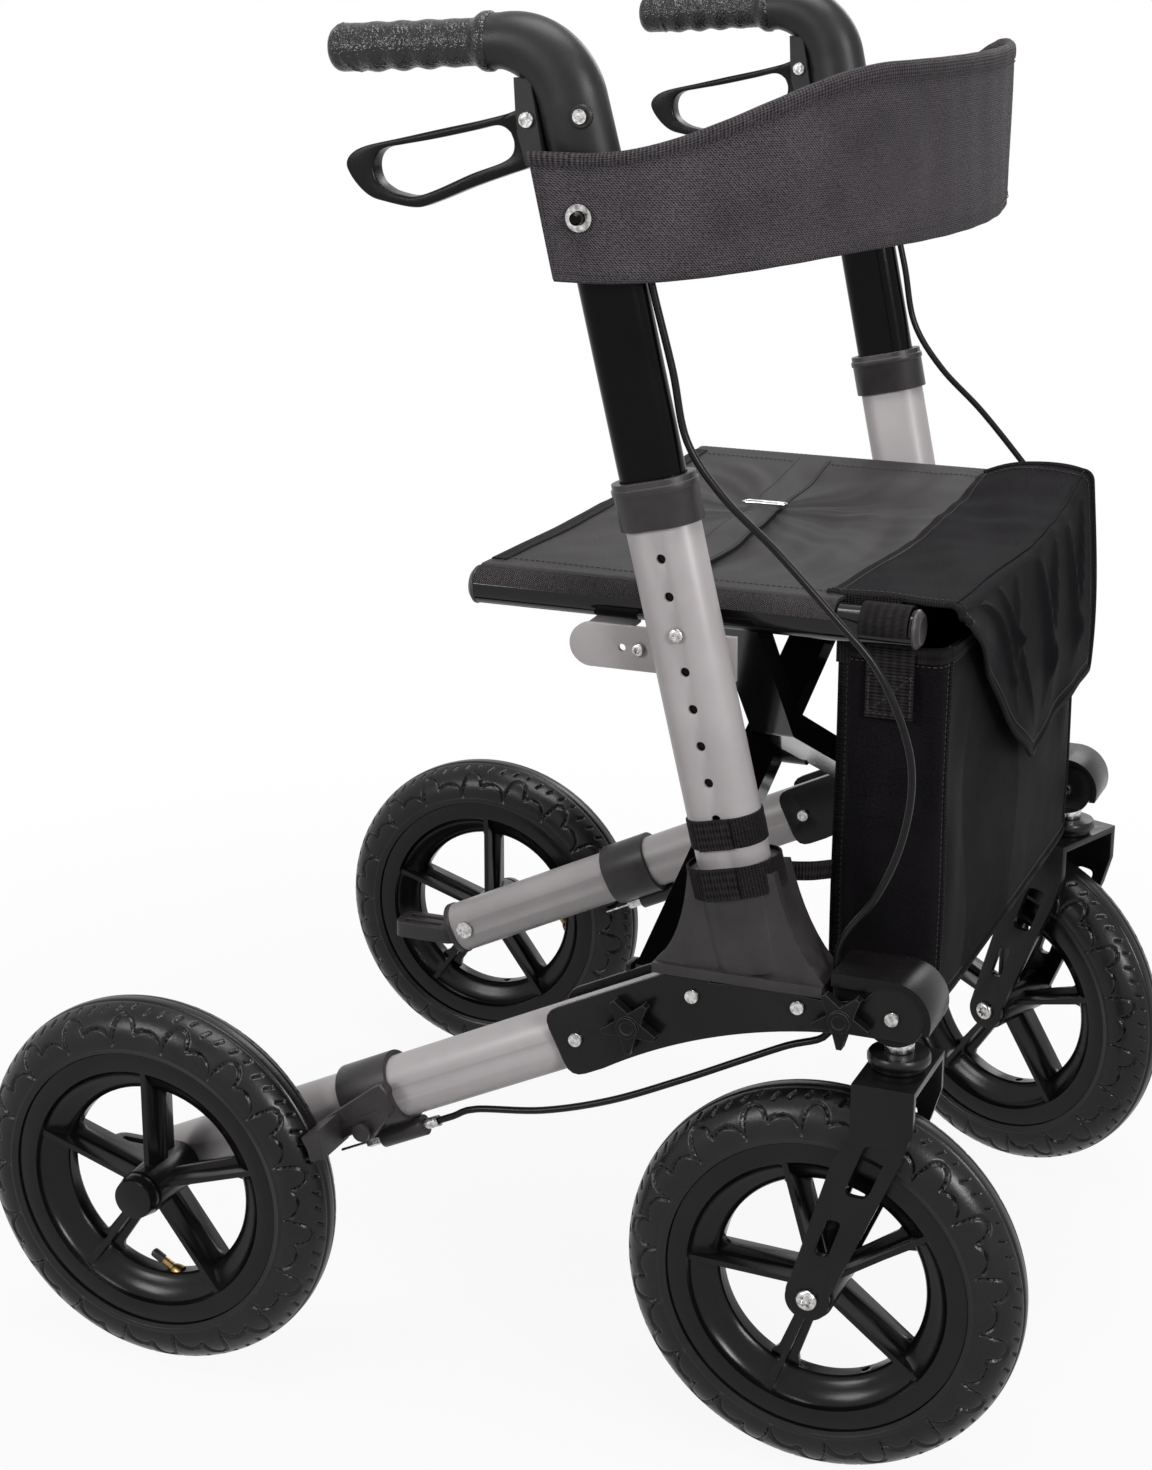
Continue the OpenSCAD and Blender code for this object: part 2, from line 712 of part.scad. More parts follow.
module brake_clamp(s) {
  color(plastic) on_leg(s) difference() {
    union() {
      translate([clamp_at - clamp_len / 2, 0, 0]) rotate([90, 0, 90]) linear_extrude(clamp_len)
        rotate(90) oval(leg_h + 2 * clamp_wall, leg_w + 2 * clamp_wall);
      translate([clamp_at - 8, horn_y, horn_z]) rotate([0, 90, 0]) cylinder(d = horn_d, h = 36);
      translate([arm_pivot[0], 0, arm_pivot[1]]) rotate([-90, 0, 0]) {
        cylinder(d = 16, h = arm_y - 0.5);
        cylinder(d = arm_pin_d, h = arm_y + arm_w + 1);
        translate([0, 0, arm_y + arm_w + 0.5]) cylinder(d = 13, h = 2.5);
      }
    }
    translate([clamp_at - leg_len / 2, 0, 0]) leg_section(fit);
    translate([clamp_at - 30, horn_y, horn_z]) rotate([0, 90, 0]) cylinder(d = 3, h = 80);
  }
}

module brake_arm(s) {
  shoe_out = leg_w / 2 + wheel_gap + tyre_w - 4;
  color(plastic) on_leg(s) difference() {
    union() {
      upright_plate(arm_y + arm_w / 2, arm_w) polygon(rounded([
        [tyre_d / 2 - 1, -16], [tyre_d / 2, 24], [clamp_at - 10, 28],
        [clamp_at + 16, 18], [clamp_at + 17, -20], [clamp_at - 16, -26]
      ], 5));
      upright_plate((arm_y + shoe_out) / 2, shoe_out - arm_y) polygon(rounded([
        [tyre_d / 2 - 1, -16], [tyre_d / 2, 24], [tyre_d / 2 + 16, 23], [tyre_d / 2 + 14, -17]
      ], 3));
    }
    rotate([90, 0, 0]) cylinder(r = tyre_d / 2 + shoe_gap, h = 300, center = true, $fn = 180);
    translate([arm_pivot[0], 0, arm_pivot[1]]) rotate([-90, 0, 0]) cylinder(d = arm_pin_d + run, h = 100);
  }
}

// Screws, axle, barrel adjusters and brace pin of a side frame
module frame_hardware(s) {
  bar_x = s > 0 ? right_bar_x : left_bar_x;
  pin_len = bar_w + 14;
  color(steel) {
    side(s) for (p = plate_screws, e = [-1, 1])
      translate([p[0], frame_y + e * (plate_out + fit), p[1]]) rotate([-90 * e, 0, 0]) screw(screw_d, 10);
    side(s) translate([rear_x, frame_y - leg_w / 2 - 3, axle_z]) rotate([-90, 0, 0]) {
      cylinder(d = axle_d, h = leg_w + 3 + wheel_gap + tyre_w / 2 + rear_hub_out - 2);
      cylinder(d = axle_d + 3, h = 2.8);
    }
    on_post(s) translate([0, tube_w / 2 + fit, height_screw])
      rotate([-90, 0, 0]) {
        cylinder(d = screw_d, h = 2.5);
        translate([0, 0, -tube_wall - 2.5]) cylinder(d = hole_d - 2 * fit, h = tube_wall + 2.5);
      }
    on_leg(s) translate([0, horn_y, horn_z]) rotate([0, 90, 0]) {
      translate([0, 0, clamp_at + 28 + fit]) difference() {
        cylinder(d = 8, h = 12);
        cylinder(d = cable_d + 2 * fit, h = 40, center = true);
      }
      translate([0, 0, clamp_at - 22]) {
        cylinder(d = 9, h = 13, $fn = 6);
        translate([0, 0, -24]) cylinder(d = 2, h = 60);
      }
    }
    on_bracket(s) translate([bracket_holes[1], -tube_w / 2 - fit - 1.5, 0]) rotate([90, 0, 0]) {
      cylinder(d = bracket_hole_d - 2 * fit, h = 4, center = true);
      for (e = [0, 1]) mirror([0, 0, e]) translate([0, 0, 1.5 + fit]) cylinder(d = 8, h = 1.5);
    }
    side(s) translate([bar_x - pin_len / 2, pivot_y, pivot_z]) rotate([0, 90, 0]) {
      cylinder(d = bar_pin_d, h = pin_len);
      for (z = [0, pin_len - 2]) translate([0, 0, z]) cylinder(d = bar_pin_d + 5, h = 2);
    }
  }
}

// Castor head between and over the front ends of the side plates

module head_outline() {
  translate(front_eye) circle(r = head_r);
  translate([castor_x - 41, head_z - head_r + 4]) square([41, head_r + 17]);
}

module head_block(s) {
  cap_w = 2 * plate_out + 4;
  color(plastic) side(s) difference() {
    union() {
      upright_plate(frame_y, leg_w) head_outline();
      upright_plate(frame_y, cap_w) difference() {
        translate([castor_x - 41, head_z + 17]) square([41, 9]);
        translate(front_eye) circle(r = head_r + clear);
      }
      upright_plate(frame_y, cap_w) difference() {
        translate(front_eye) circle(r = head_r + 5);
        translate(front_eye) circle(r = head_r + clear);
        translate([castor_x - 60, head_z - 90]) square([60, 180]);
        translate([castor_x - 60, head_z - 100]) square([200, 92]);
      }
      upright_plate(frame_y, leg_w) difference() {
        translate(front_eye) circle(r = head_r + 2);
        translate([castor_x - 60, head_z - 100]) square([200, 95]);
      }
    }
    translate([castor_x, frame_y, 0]) cylinder(d = stem_d + run, h = head_z + 13);
    translate([castor_x, frame_y, head_z]) rotate([90, 0, 0])
      cylinder(d = screw_d / 2 + 2 * fit, h = 60, center = true);
    translate([knob_front_at[0], frame_y, knob_front_at[1]]) rotate([-90, 0, 0])
      cylinder(d = stud_d + run, h = 60);
  }
}

// Star knobs

module knob(s, at) {
  waist = knob_r * 0.45;
  color(plastic) side(s) translate([at[0], frame_y + plate_out + 0.5, at[1]]) rotate([-90, 0, 0]) {
    difference() {
      union() {
        translate([0, 0, 2]) linear_extrude(8) {
          for (i = [0 : 4]) rotate(72 * i + 18)
            polygon([[0, -7], [waist, -5], [knob_r, -1.8], [knob_r, 1.8], [waist, 5], [0, 7]]);
          circle(r = waist);
        }
        translate([0, 0, 1]) cylinder(d = 15, h = 12);
        cylinder(d = 13, h = 3);
      }
      translate([0, 0, 12]) cylinder(d = 9, h = 10);
    }
    translate([0, 0, -14]) cylinder(d = stud_d, h = 16);
  }
}

// Handles

module handle_tube(s) {
  slot_top = height_screw + height_down + hole_d;
  slot_bottom = height_screw - height_up - hole_d;
  color(black_paint) on_post(s) difference() {
    translate([0, 0, inner_bottom]) linear_extrude(inner_top - inner_bottom) oval(inner_l, inner_w);
    translate([0, 0, inner_bottom - 1]) linear_extrude(inner_top) oval(inner_l - 5, inner_w - 5);
    translate([-hole_d / 2, inner_w / 2 - 4, slot_bottom]) cube([hole_d, 8, slot_top - slot_bottom]);
    translate([0, 0, stud_h]) rotate([-90, 0, 0]) cylinder(d = stud_d + run, h = 60);
  }
}

// Ring of the elbow in the grip plane: centre p, direction d, half sizes a along the bend and b across it
function elbow_ring(p, d, a, b) = [
  for (k = [0 : 23]) let (c = cos(15 * k) * a, q = sin(15 * k) * b)
    [p[0] + d[1] * c, handle_y + q, p[1] - d[0] * c]
];

module elbow_body() {
  steps = 9;
  foot = post_point(inner_top + fit + 20 * sin(post_splay));
  bend_rings = [
    for (i = [0 : steps]) let (t = i / steps, a = bend * t)
      elbow_ring(bend_point(a), [-sin(post_lean + a), cos(post_lean + a)], 22.5 - 5.5 * t ^ 2, 17.5 - 0.5 * t)
  ];
  loft(concat(
    [elbow_ring([foot[0], foot[2]], tube_2d, 23, 17)],
    bend_rings,
    [
      elbow_ring(grip_root, grip_dir, 17, 17),
      elbow_ring(grip_root + 0.1 * grip_dir, grip_dir, spigot_d / 2, spigot_d / 2),
      elbow_ring(grip_root + (grip_len - 12) * grip_dir, grip_dir, spigot_d / 2, spigot_d / 2)
    ]
  ));
}

// Bracket behind the elbow with two ears for the brake lever
module lever_bracket() {
  p = lever_pivot;
  difference() {
    upright_plate(handle_y, lever_w + 2 * ear_t + 2 * clear) polygon(rounded([
      p + [-23, 21], p + [-14, 21], p + [2, 10], p + [9, -12], p + [12, -28], p + [-1, -28], p + [-11, 0]
    ], 2));
    upright_plate(handle_y, lever_w + 2 * clear) polygon([
      p + [-40, 13], p + [-8, 14], p + [9, 9], p + [9.5, -10], p + [4, -60], p + [-40, -60]
    ]);
    translate([p[0], handle_y, p[1]]) rotate([90, 0, 0])
      cylinder(d = pivot_d + 2 * fit, h = 60, center = true);
  }
}

screw_boss = bend_c + (elbow_r + 11) * [cos(post_lean - 9), sin(post_lean - 9)];
boss_y = 17.4;

module elbow(s) {
  color(plastic) side(s) {
    difference() {
      elbow_body();
      upright_plate(handle_y, lever_w + 2 * clear) translate(lever_pivot) circle(r = lever_hub_r + 1);
    }
    lever_bracket();
    translate([screw_boss[0], handle_y, screw_boss[1]]) rotate([-90, 0, 0])
      cylinder(d = screw_d + 3, h = boss_y);
  }
}

module grip(s) {
  r = grip_d / 2;
  color(rubber) side(s) translate([grip_root[0], handle_y, grip_root[1]])
    rotate([0, -90 - grip_drop, 0]) rotate_extrude() difference() {
      polygon(concat(
        [[0, 0.4], [r + 2, 0.4]],
        bezier([r + 2.5, 3], [r + 3.5, 9], [r - 1, 16], 5),
        bezier([r - 1, 30], [r + 1.5, grip_len * 0.6], [r - 0.5, grip_len - 12], 5),
        bezier([r - 0.8, grip_len - 6], [r - 1, grip_len], [r - 6, grip_len], 3),
        [[0, grip_len]]
      ));
      translate([-1, 0]) square([1 + spigot_d / 2 + fit, grip_len - 11]);
    }
}

module handle_screws(s) {
  ear_out = lever_w / 2 + ear_t + clear;
  color(steel) {
    side(s) translate([lever_pivot[0], handle_y, lever_pivot[1]]) rotate([90, 0, 0]) {
      cylinder(d = pivot_d, h = 2 * ear_out + 1, center = true);
      for (e = [0, 1]) mirror([0, 0, e]) translate([0, 0, ear_out + fit]) cylinder(d = screw_d, h = 2.5);
    }
    side(s) translate([screw_boss[0], handle_y + boss_y + fit, screw_boss[1]]) rotate([-90, 0, 0])
      cylinder(d = screw_d, h = 2.5);
    on_post(s) translate([0, inner_w / 2 + band_off + band_t + 3 * clear, stud_h]) rotate([-90, 0, 0])
      difference() {
        cylinder(d = 17, h = 2);
        cylinder(d = stud_d + 1, h = 10, center = true);
      }
  }
}

module brake_lever(s) {
  p = lever_pivot;
  color(plastic) side(s) difference() {
    upright_plate(handle_y, lever_w) difference() {
      union() {
        polygon(rounded([
          p + [-2, 6], p + [-20, 4], p + [-124, -24], p + [-134, -38], p + [-118, -62], p + [-86, -64],
          p + [-4, -32], p + [6, -24], p + [6, -4]
        ], 5));
        translate(p) circle(r = lever_hub_r);
      }
      polygon(rounded([
        p + [-22, -5], p + [-112, -30], p + [-116, -42], p + [-102, -52], p + [-64, -43], p + [-20, -25],
        p + [-12, -14]
      ], 6));
    }
    translate([p[0], handle_y, p[1]]) rotate([90, 0, 0])
      cylinder(d = pivot_d + run, h = 60, center = true);
  }
}

// Spring button that holds the backrest on the tube
module backrest_pin(s) {
  out = band_off + band_t + 12;
  color(steel) on_post(s) translate([0, inner_w / 2 - 4, stud_h]) rotate([-90, 0, 0]) {
    cylinder(d = stud_d, h = out);
    translate([0, 0, out]) cylinder(d1 = stud_d, d2 = stud_d - 3, h = 2);
  }
}

module brake_cable(s) {
  path = [for (p = cable_route) [p[0], frame_y + p[1], p[2]]];
  color(rubber) side(s) loft(cord_rings(smooth(path, 2), cable_d, 8));
}

// Cross brace and seat

// Bar of depth t from its foot on the side opposite s to the rail on side s, in the plane across the frame
module bar_outline(t) {
  foot = [-pivot_y, pivot_z];
  knee = [knee_y, knee_z];
  top = [rail_y, rail_z];
  for (l = [[foot, knee], [knee, top]]) {
    d = l[1] - l[0];
    translate(l[0]) rotate(atan2(d[1], d[0])) translate([0, -t / 2]) square([norm(d), t]);
  }
  for (p = [foot, knee]) translate(p) circle(d = t);
}

module brace_bar(s) {
  x = s > 0 ? left_bar_x : right_bar_x;
  wall = 2;
  color(black_paint) side(s) difference() {
    union() {
      translate([x - bar_w / 2, 0, 0]) rotate([90, 0, 90]) linear_extrude(bar_w) bar_outline(bar_t);
      translate([rail_x, rail_y, rail_z]) rotate([0, 90, 0]) cylinder(d = rail_d, h = rail_len);
    }
    translate([rail_x - 1, rail_y, rail_z]) rotate([0, 90, 0])
      cylinder(d = rail_d - 2 * wall, h = rail_len + 2);
    translate([x - bar_w / 2 + wall, 0, 0]) rotate([90, 0, 90])
      linear_extrude(bar_w - 2 * wall) difference() {
      bar_outline(bar_t - 2 * wall);
      translate([-pivot_y, pivot_z]) circle(r = bar_pin_d);
      translate([0, cross_z]) circle(r = bolt_d);
    }
    translate([x, -pivot_y, pivot_z]) rotate([0, 90, 0])
      cylinder(d = bar_pin_d + run, h = 2 * bar_w, center = true);
    translate([x, 0, cross_z]) rotate([0, 90, 0])
      cylinder(d = bolt_d + run, h = 2 * bar_w, center = true);
  }
}

module rail_caps(s) {
  color(plastic) side(s) translate([rail_x, rail_y, rail_z]) rotate([0, 90, 0]) {
    for (e = [[0, 0], [1, rail_len]]) translate([0, 0, e[1]]) mirror([0, 0, e[0]]) {
      translate([0, 0, -5 - fit]) cylinder(d1 = rail_d - 6, d2 = rail_d + 1, h = 3);
      translate([0, 0, -2 - fit]) cylinder(d = rail_d + 1, h = 2);
      translate([0, 0, -fit]) cylinder(d = rail_d - 4 - 2 * fit, h = 14);
    }
  }
}

module brace_bolt() {
  rear = left_bar_x - bar_w / 2;
  front = right_bar_x + bar_w / 2;
  between = right_bar_x - left_bar_x - bar_w;
  color(steel) translate([0, 0, cross_z]) rotate([0, 90, 0]) {
    translate([0, 0, rear - 2]) cylinder(d = bolt_d, h = front - rear + 4);
    for (x = [rear - 6 - fit, front + fit]) translate([0, 0, x]) cylinder(d = bolt_d + 8, h = 6);
    translate([0, 0, left_bar_x + bar_w / 2 + fit]) cylinder(d = bolt_d + 12, h = between - 2 * fit);
  }
}

// Seat cloth: over both rails with a dip between them, and a flap that falls over the front of the bag

bag_x = rail_x + seat_depth - 2.5;
bag_low = head_z - head_r;
bag_high = rail_z - rail_d / 2 - 3;
cloth_top = rail_z + rail_d / 2 + clear;

function seat_dip_at(half) = let (steps = 16) [
  for (i = [0 : steps]) let (y = half * (2 * i / steps - 1))
    [y, cloth_top - seat_dip * (1 - (y / rail_y) ^ 2)]
];

// Outline of a sheet of thickness t that follows the dip out to half the width
module dip_outline(half, t) {
  dip = seat_dip_at(half);
  polygon(concat(dip, [for (i = [len(dip) - 1 : -1 : 0]) dip[i] + [0, t]]));
}

module seat_outline() {
  r = rail_d / 2 + clear;
  dip_outline(rail_y, seat_t);
  for (e = [0, 1]) mirror([e, 0]) translate([rail_y, rail_z]) intersection() {
    difference() {
      circle(r = r + seat_t);
      circle(r = r);
    }
    translate([-0.5, -6]) square([2 * r, 3 * r]);
  }
}

module flap_outline(half) {
  dip = seat_dip_at(half);
  low = rail_z - flap_drop;
  polygon(concat(
    [for (i = [len(dip) - 1 : -1 : 0]) dip[i] + [0, seat_t]],
    bezier([-half, rail_z + 4], [-half * 0.35, rail_z - 55], [half * 0.05, low - 6], 10),
    bezier([half * 0.05, low - 6], [half * 0.3, low + 4], [half, low + 2], 6)
  ));
}

module seat_sling() {
  rear = rail_x + 2;
  flap_x = bag_x + bag_depth + clear;
  flap_y = rail_y - rail_d / 2 - 4;
  color(cloth) {
    translate([rear, 0, 0]) rotate([90, 0, 90]) linear_extrude(seat_depth) seat_outline();
    translate([rear, 0, 0]) rotate([90, 0, 90]) linear_extrude(flap_x - rear + seat_t)
      dip_outline(flap_y, seat_t);
    translate([flap_x, 0, 0]) rotate([90, 0, 90]) linear_extrude(seat_t) flap_outline(flap_y);
  }
}

// Bag hung on the front of the rails: soft sides that bulge at mid height and sag into two folds

function bag_ring(z, inset) = let (
  t = (z - bag_low) / (bag_high - bag_low), swell = 0.93 + 0.28 * t * (1 - t)
) [
  for (k = [0 : 39]) let (
    c = cos(9 * k), q = sin(9 * k),
    fold = 2 * sin(9 * k * 4) * sin(180 * t) * abs(q),
    hx = bag_depth / 2 * swell - inset - abs(fold), hy = bag_width / 2 * (0.985 + 0.06 * t * (1 - t)) - inset
  ) [bag_x + bag_depth / 2 + sign(c) * hx * abs(c) ^ 0.3, sign(q) * hy * abs(q) ^ 0.3, z]
];

module bag() {
  loop_r = rail_d / 2 + clear;
  steps = 8;
  color(cloth) {
    difference() {
      loft([for (i = [0 : steps]) bag_ring(bag_low + (bag_high - bag_low) * i / steps, 0)]);
      loft([for (i = [0 : steps]) bag_ring(bag_low + bag_t + (bag_high - bag_low) * i / steps, bag_t)]);
    }
    for (e = [0, 1]) mirror([0, e, 0]) translate([bag_x + 8, rail_y, rail_z]) rotate([90, 0, 90])
      linear_extrude(28) {
        difference() {
          circle(r = loop_r + 2);
          circle(r = loop_r);
        }
        translate([-loop_r - 3, -loop_r - 12]) square([3, loop_r + 12]);
      }
  }
}

// Backrest: a padded band round the outside of the uprights

function band_at(a) = let (end = post_point(stud_h), half = end[1] + inner_w / 2 + band_off + band_t / 2)
  [end[0] + band_reach * cos(a), half * sin(a)];

function band_rise(a) = let (w = abs(sin(a))) w < 0.5 ? 0 : (w - 0.5) ^ 2 * 4;

function band_ring(p, n, low, high) = let (t = band_t / 2, z = (low + high) / 2)
  [for (c = [[-0.6, low], [0.6, low], [1, low + 5], [1.15, z], [1, high - 5], [0.6, high], [-0.6, high],
    [-1, high - 5], [-1.15, z], [-1, low + 5]]) [p[0] + c[0] * t * n[0], p[1] + c[0] * t * n[1], c[1]]];

module backrest() {
  steps = 32;
  end = post_point(stud_h);
  mid_low = end[2] - 28;
  tail = 27;
  half = band_at(90)[1];
  rings = [
    for (i = [0 : steps]) let (a = 180 * i / steps - 90, p = band_at(a), w = band_rise(a))
      band_ring(p, unit([cos(a) / band_reach, sin(a) / half]), mid_low - 13 * w,
        mid_low + band_h * (1 - w) + (band_end_h - 13) * w)
  ];
  first = [for (q = rings[0]) q - [tail + (q[2] - end[2]) * tan(post_lean), 0, 0]];
  last = [for (q = rings[steps]) q - [tail + (q[2] - end[2]) * tan(post_lean), 0, 0]];
  color(cloth) difference() {
    loft(concat([first], rings, [last]));
    for (s = [-1, 1]) on_post(s) translate([0, 0, stud_h]) rotate([-90, 0, 0])
      cylinder(d = stud_d + 2, h = 60);
  }
}

side_plates(-1);  // side_plates_right
side_plates(1);  // side_plates_left
post_socket(-1);  // post_socket_right
post_socket(1);  // post_socket_left
lower_tube(-1);  // lower_tube_right
lower_tube(1);  // lower_tube_left
collar(-1);  // collar_right
collar(1);  // collar_left
rear_leg(-1);  // rear_leg_right
rear_leg(1);  // rear_leg_left
leg_end(-1);  // leg_end_right
leg_end(1);  // leg_end_left
brake_clamp(-1);  // brake_clamp_right
brake_clamp(1);  // brake_clamp_left
brake_arm(-1);  // brake_arm_right
brake_arm(1);  // brake_arm_left
frame_hardware(-1);  // frame_hardware_right
frame_hardware(1);  // frame_hardware_left
head_block(-1);  // head_block_right
head_block(1);  // head_block_left
seat_bracket(-1);  // seat_bracket_right
seat_bracket(1);  // seat_bracket_left
knob(-1, knob_rear_at);  // knob_rear_right
knob(1, knob_rear_at);  // knob_rear_left
knob(-1, knob_front_at);  // knob_front_right
knob(1, knob_front_at);  // knob_front_left
rear_tyre(-1);  // rear_tyre_right
rear_tyre(1);  // rear_tyre_left
rear_rim(-1);  // rear_rim_right
rear_rim(1);  // rear_rim_left
castor_fork(-1);  // castor_fork_right
castor_fork(1);  // castor_fork_left
castor_bearing(-1);  // castor_bearing_right
castor_bearing(1);  // castor_bearing_left
front_tyre(-1);  // front_tyre_right
front_tyre(1);  // front_tyre_left
front_rim(-1);  // front_rim_right
front_rim(1);  // front_rim_left
handle_tube(-1);  // handle_tube_right
handle_tube(1);  // handle_tube_left
elbow(-1);  // elbow_right
elbow(1);  // elbow_left
grip(-1);  // grip_right
grip(1);  // grip_left
handle_screws(-1);  // handle_screws_right
handle_screws(1);  // handle_screws_left
brake_lever(-1);  // brake_lever_right
brake_lever(1);  // brake_lever_left
backrest_pin(-1);  // backrest_pin_right
backrest_pin(1);  // backrest_pin_left
brake_cable(-1);  // brake_cable_right
brake_cable(1);  // brake_cable_left
brace_bar(1);  // brace_bar_left
brace_bar(-1);  // brace_bar_right
rail_caps(1);  // rail_caps_left
rail_caps(-1);  // rail_caps_right
brace_bolt();
seat_sling();
bag();
backrest();
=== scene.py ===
import json
from math import copysign, cos, exp, pi, radians, sin, sqrt, tan

import bmesh
import bpy
import numpy as np
from mathutils import Matrix, Vector

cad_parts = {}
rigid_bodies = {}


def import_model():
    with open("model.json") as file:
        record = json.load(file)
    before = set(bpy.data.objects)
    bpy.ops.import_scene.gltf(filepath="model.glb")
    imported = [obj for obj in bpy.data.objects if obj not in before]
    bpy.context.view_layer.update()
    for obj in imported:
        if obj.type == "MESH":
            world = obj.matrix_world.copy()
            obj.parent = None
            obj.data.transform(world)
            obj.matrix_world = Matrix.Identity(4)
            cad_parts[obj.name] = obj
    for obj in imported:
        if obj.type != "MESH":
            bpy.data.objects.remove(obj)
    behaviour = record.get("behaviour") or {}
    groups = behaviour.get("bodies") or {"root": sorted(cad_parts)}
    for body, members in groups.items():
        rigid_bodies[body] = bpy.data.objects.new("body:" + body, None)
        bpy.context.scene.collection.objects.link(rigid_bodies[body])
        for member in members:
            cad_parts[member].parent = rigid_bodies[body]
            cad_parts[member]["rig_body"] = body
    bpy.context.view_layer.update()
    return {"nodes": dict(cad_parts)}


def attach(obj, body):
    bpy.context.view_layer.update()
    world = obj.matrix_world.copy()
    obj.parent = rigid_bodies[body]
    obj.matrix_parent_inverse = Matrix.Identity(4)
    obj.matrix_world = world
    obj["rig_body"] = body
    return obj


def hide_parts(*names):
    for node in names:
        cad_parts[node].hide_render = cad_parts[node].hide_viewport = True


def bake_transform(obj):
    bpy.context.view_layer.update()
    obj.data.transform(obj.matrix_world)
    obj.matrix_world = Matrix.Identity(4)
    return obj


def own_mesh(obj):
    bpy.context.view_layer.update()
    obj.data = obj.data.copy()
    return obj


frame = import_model()

# Studio: a white sweep under large soft lamps, seen from the front right at the height of the
# handles, as a catalogue picture of the walker is taken.


def new_object(name, data):
    """A new object in the scene."""
    made = bpy.data.objects.new(name, data)
    bpy.context.scene.collection.objects.link(made)
    return made


def join(tree, node, inputs):
    """Sets each input of a node to its value, or joins it to the output that is given for it."""
    for key, value in inputs.items():
        if isinstance(value, bpy.types.NodeSocket):
            tree.links.new(value, node.inputs[key])
        else:
            node.inputs[key].default_value = value
    return node


def add_node(tree, kind, inputs=(), **settings):
    """A new node with its settings and inputs."""
    node = tree.nodes.new(kind)
    for key, value in settings.items():
        setattr(node, key, value)
    return join(tree, node, dict(inputs))


def seen_white(tree, kind, lit, out_kind):
    """Lets the camera, gloss and glass see plain white in place of a lit shader; gives the switch and its socket."""
    white = add_node(tree, kind, {"Color": (1, 1, 1, 1), "Strength": 1.0})
    path = add_node(tree, "ShaderNodeLightPath").outputs
    seen = path["Is Camera Ray"]
    for ray in ("Is Glossy Ray", "Is Transmission Ray"):
        seen = add_node(tree, "ShaderNodeMath", {0: seen, 1: path[ray]}, operation="MAXIMUM").outputs["Value"]
    mix = add_node(tree, "ShaderNodeMixShader", {1: lit.outputs[0], 2: white.outputs[0]})
    add_node(tree, out_kind, {"Surface": mix.outputs[0]})
    return seen, mix.inputs[0]


camera = bpy.data.cameras.new("camera")
camera.lens = 66.58
camera.sensor_width = 36
camera.clip_end = 50
viewpoint = new_object("camera", camera)
eye = Vector((0.7115, -1.8463, 1.0365))
target = Vector((-0.0294, -0.0298, 0.4255))
aim = (target - eye).to_track_quat("-Z", "Y").to_matrix().to_4x4()
viewpoint.matrix_world = Matrix.Translation(eye) @ aim @ Matrix.Rotation(radians(0.2), 4, "Z")
bpy.context.scene.camera = viewpoint
bpy.context.scene.view_settings.view_transform = "Standard"

world = bpy.data.worlds.new("backdrop")
bpy.context.scene.world = world
world.use_nodes = True
sky = world.node_tree
sky.nodes.clear()
sky_light = add_node(sky, "ShaderNodeBackground", {"Color": (1, 1, 1, 1), "Strength": 0.16})
sky.links.new(*seen_white(sky, "ShaderNodeBackground", sky_light, "ShaderNodeOutputWorld"))

lamp_target = Vector((0, 0, 0.45))
for lamp_name, place, size, power in (
    ("lamp_top", (0.2, -0.3, 2.7), 1.3, 48),
    ("lamp_near", (-1.6, -2.7, 1.7), 1.0, 42),
    ("lamp_front", (2.5, -1.9, 1.8), 0.9, 66),
    ("lamp_back", (0.4, 2.6, 1.9), 1.2, 18),
):
    lamp = bpy.data.lights.new(lamp_name, "AREA")
    lamp.shape = "SQUARE"
    lamp.size = size
    lamp.energy = power
    stand = new_object(lamp_name, lamp)
    stand.location = place
    stand.rotation_euler = (lamp_target - Vector(place)).to_track_quat("-Z", "Y").to_euler()

floor_mesh = bpy.data.meshes.new("floor")
floor_mesh.from_pydata([(-6, -6, 0), (6, -6, 0), (6, 6, 0), (-6, 6, 0)], [], [(0, 1, 2, 3)])
floor = new_object("floor", floor_mesh)
paper = bpy.data.materials.new("white_paper")
paper.use_nodes = True
sweep_tree = paper.node_tree
sweep_tree.nodes.clear()
matt = add_node(sweep_tree, "ShaderNodeBsdfDiffuse", {"Color": (0.42, 0.42, 0.42, 1)})
paper_seen, paper_share = seen_white(sweep_tree, "ShaderNodeEmission", matt, "ShaderNodeOutputMaterial")
paper_where = add_node(sweep_tree, "ShaderNodeTexCoord").outputs["Object"]
paper_far = add_node(sweep_tree, "ShaderNodeVectorMath", {0: paper_where}, operation="LENGTH").outputs["Value"]
paper_fade = add_node(
    sweep_tree, "ShaderNodeMapRange",
    {"Value": paper_far, "From Min": 0.3, "From Max": 1.3, "To Min": 0.92, "To Max": 1.0},
).outputs["Result"]
paper_white = add_node(sweep_tree, "ShaderNodeMath", {0: paper_fade, 1: paper_seen}, operation="MULTIPLY")
sweep_tree.links.new(paper_white.outputs["Value"], paper_share)
floor_mesh.materials.append(paper)

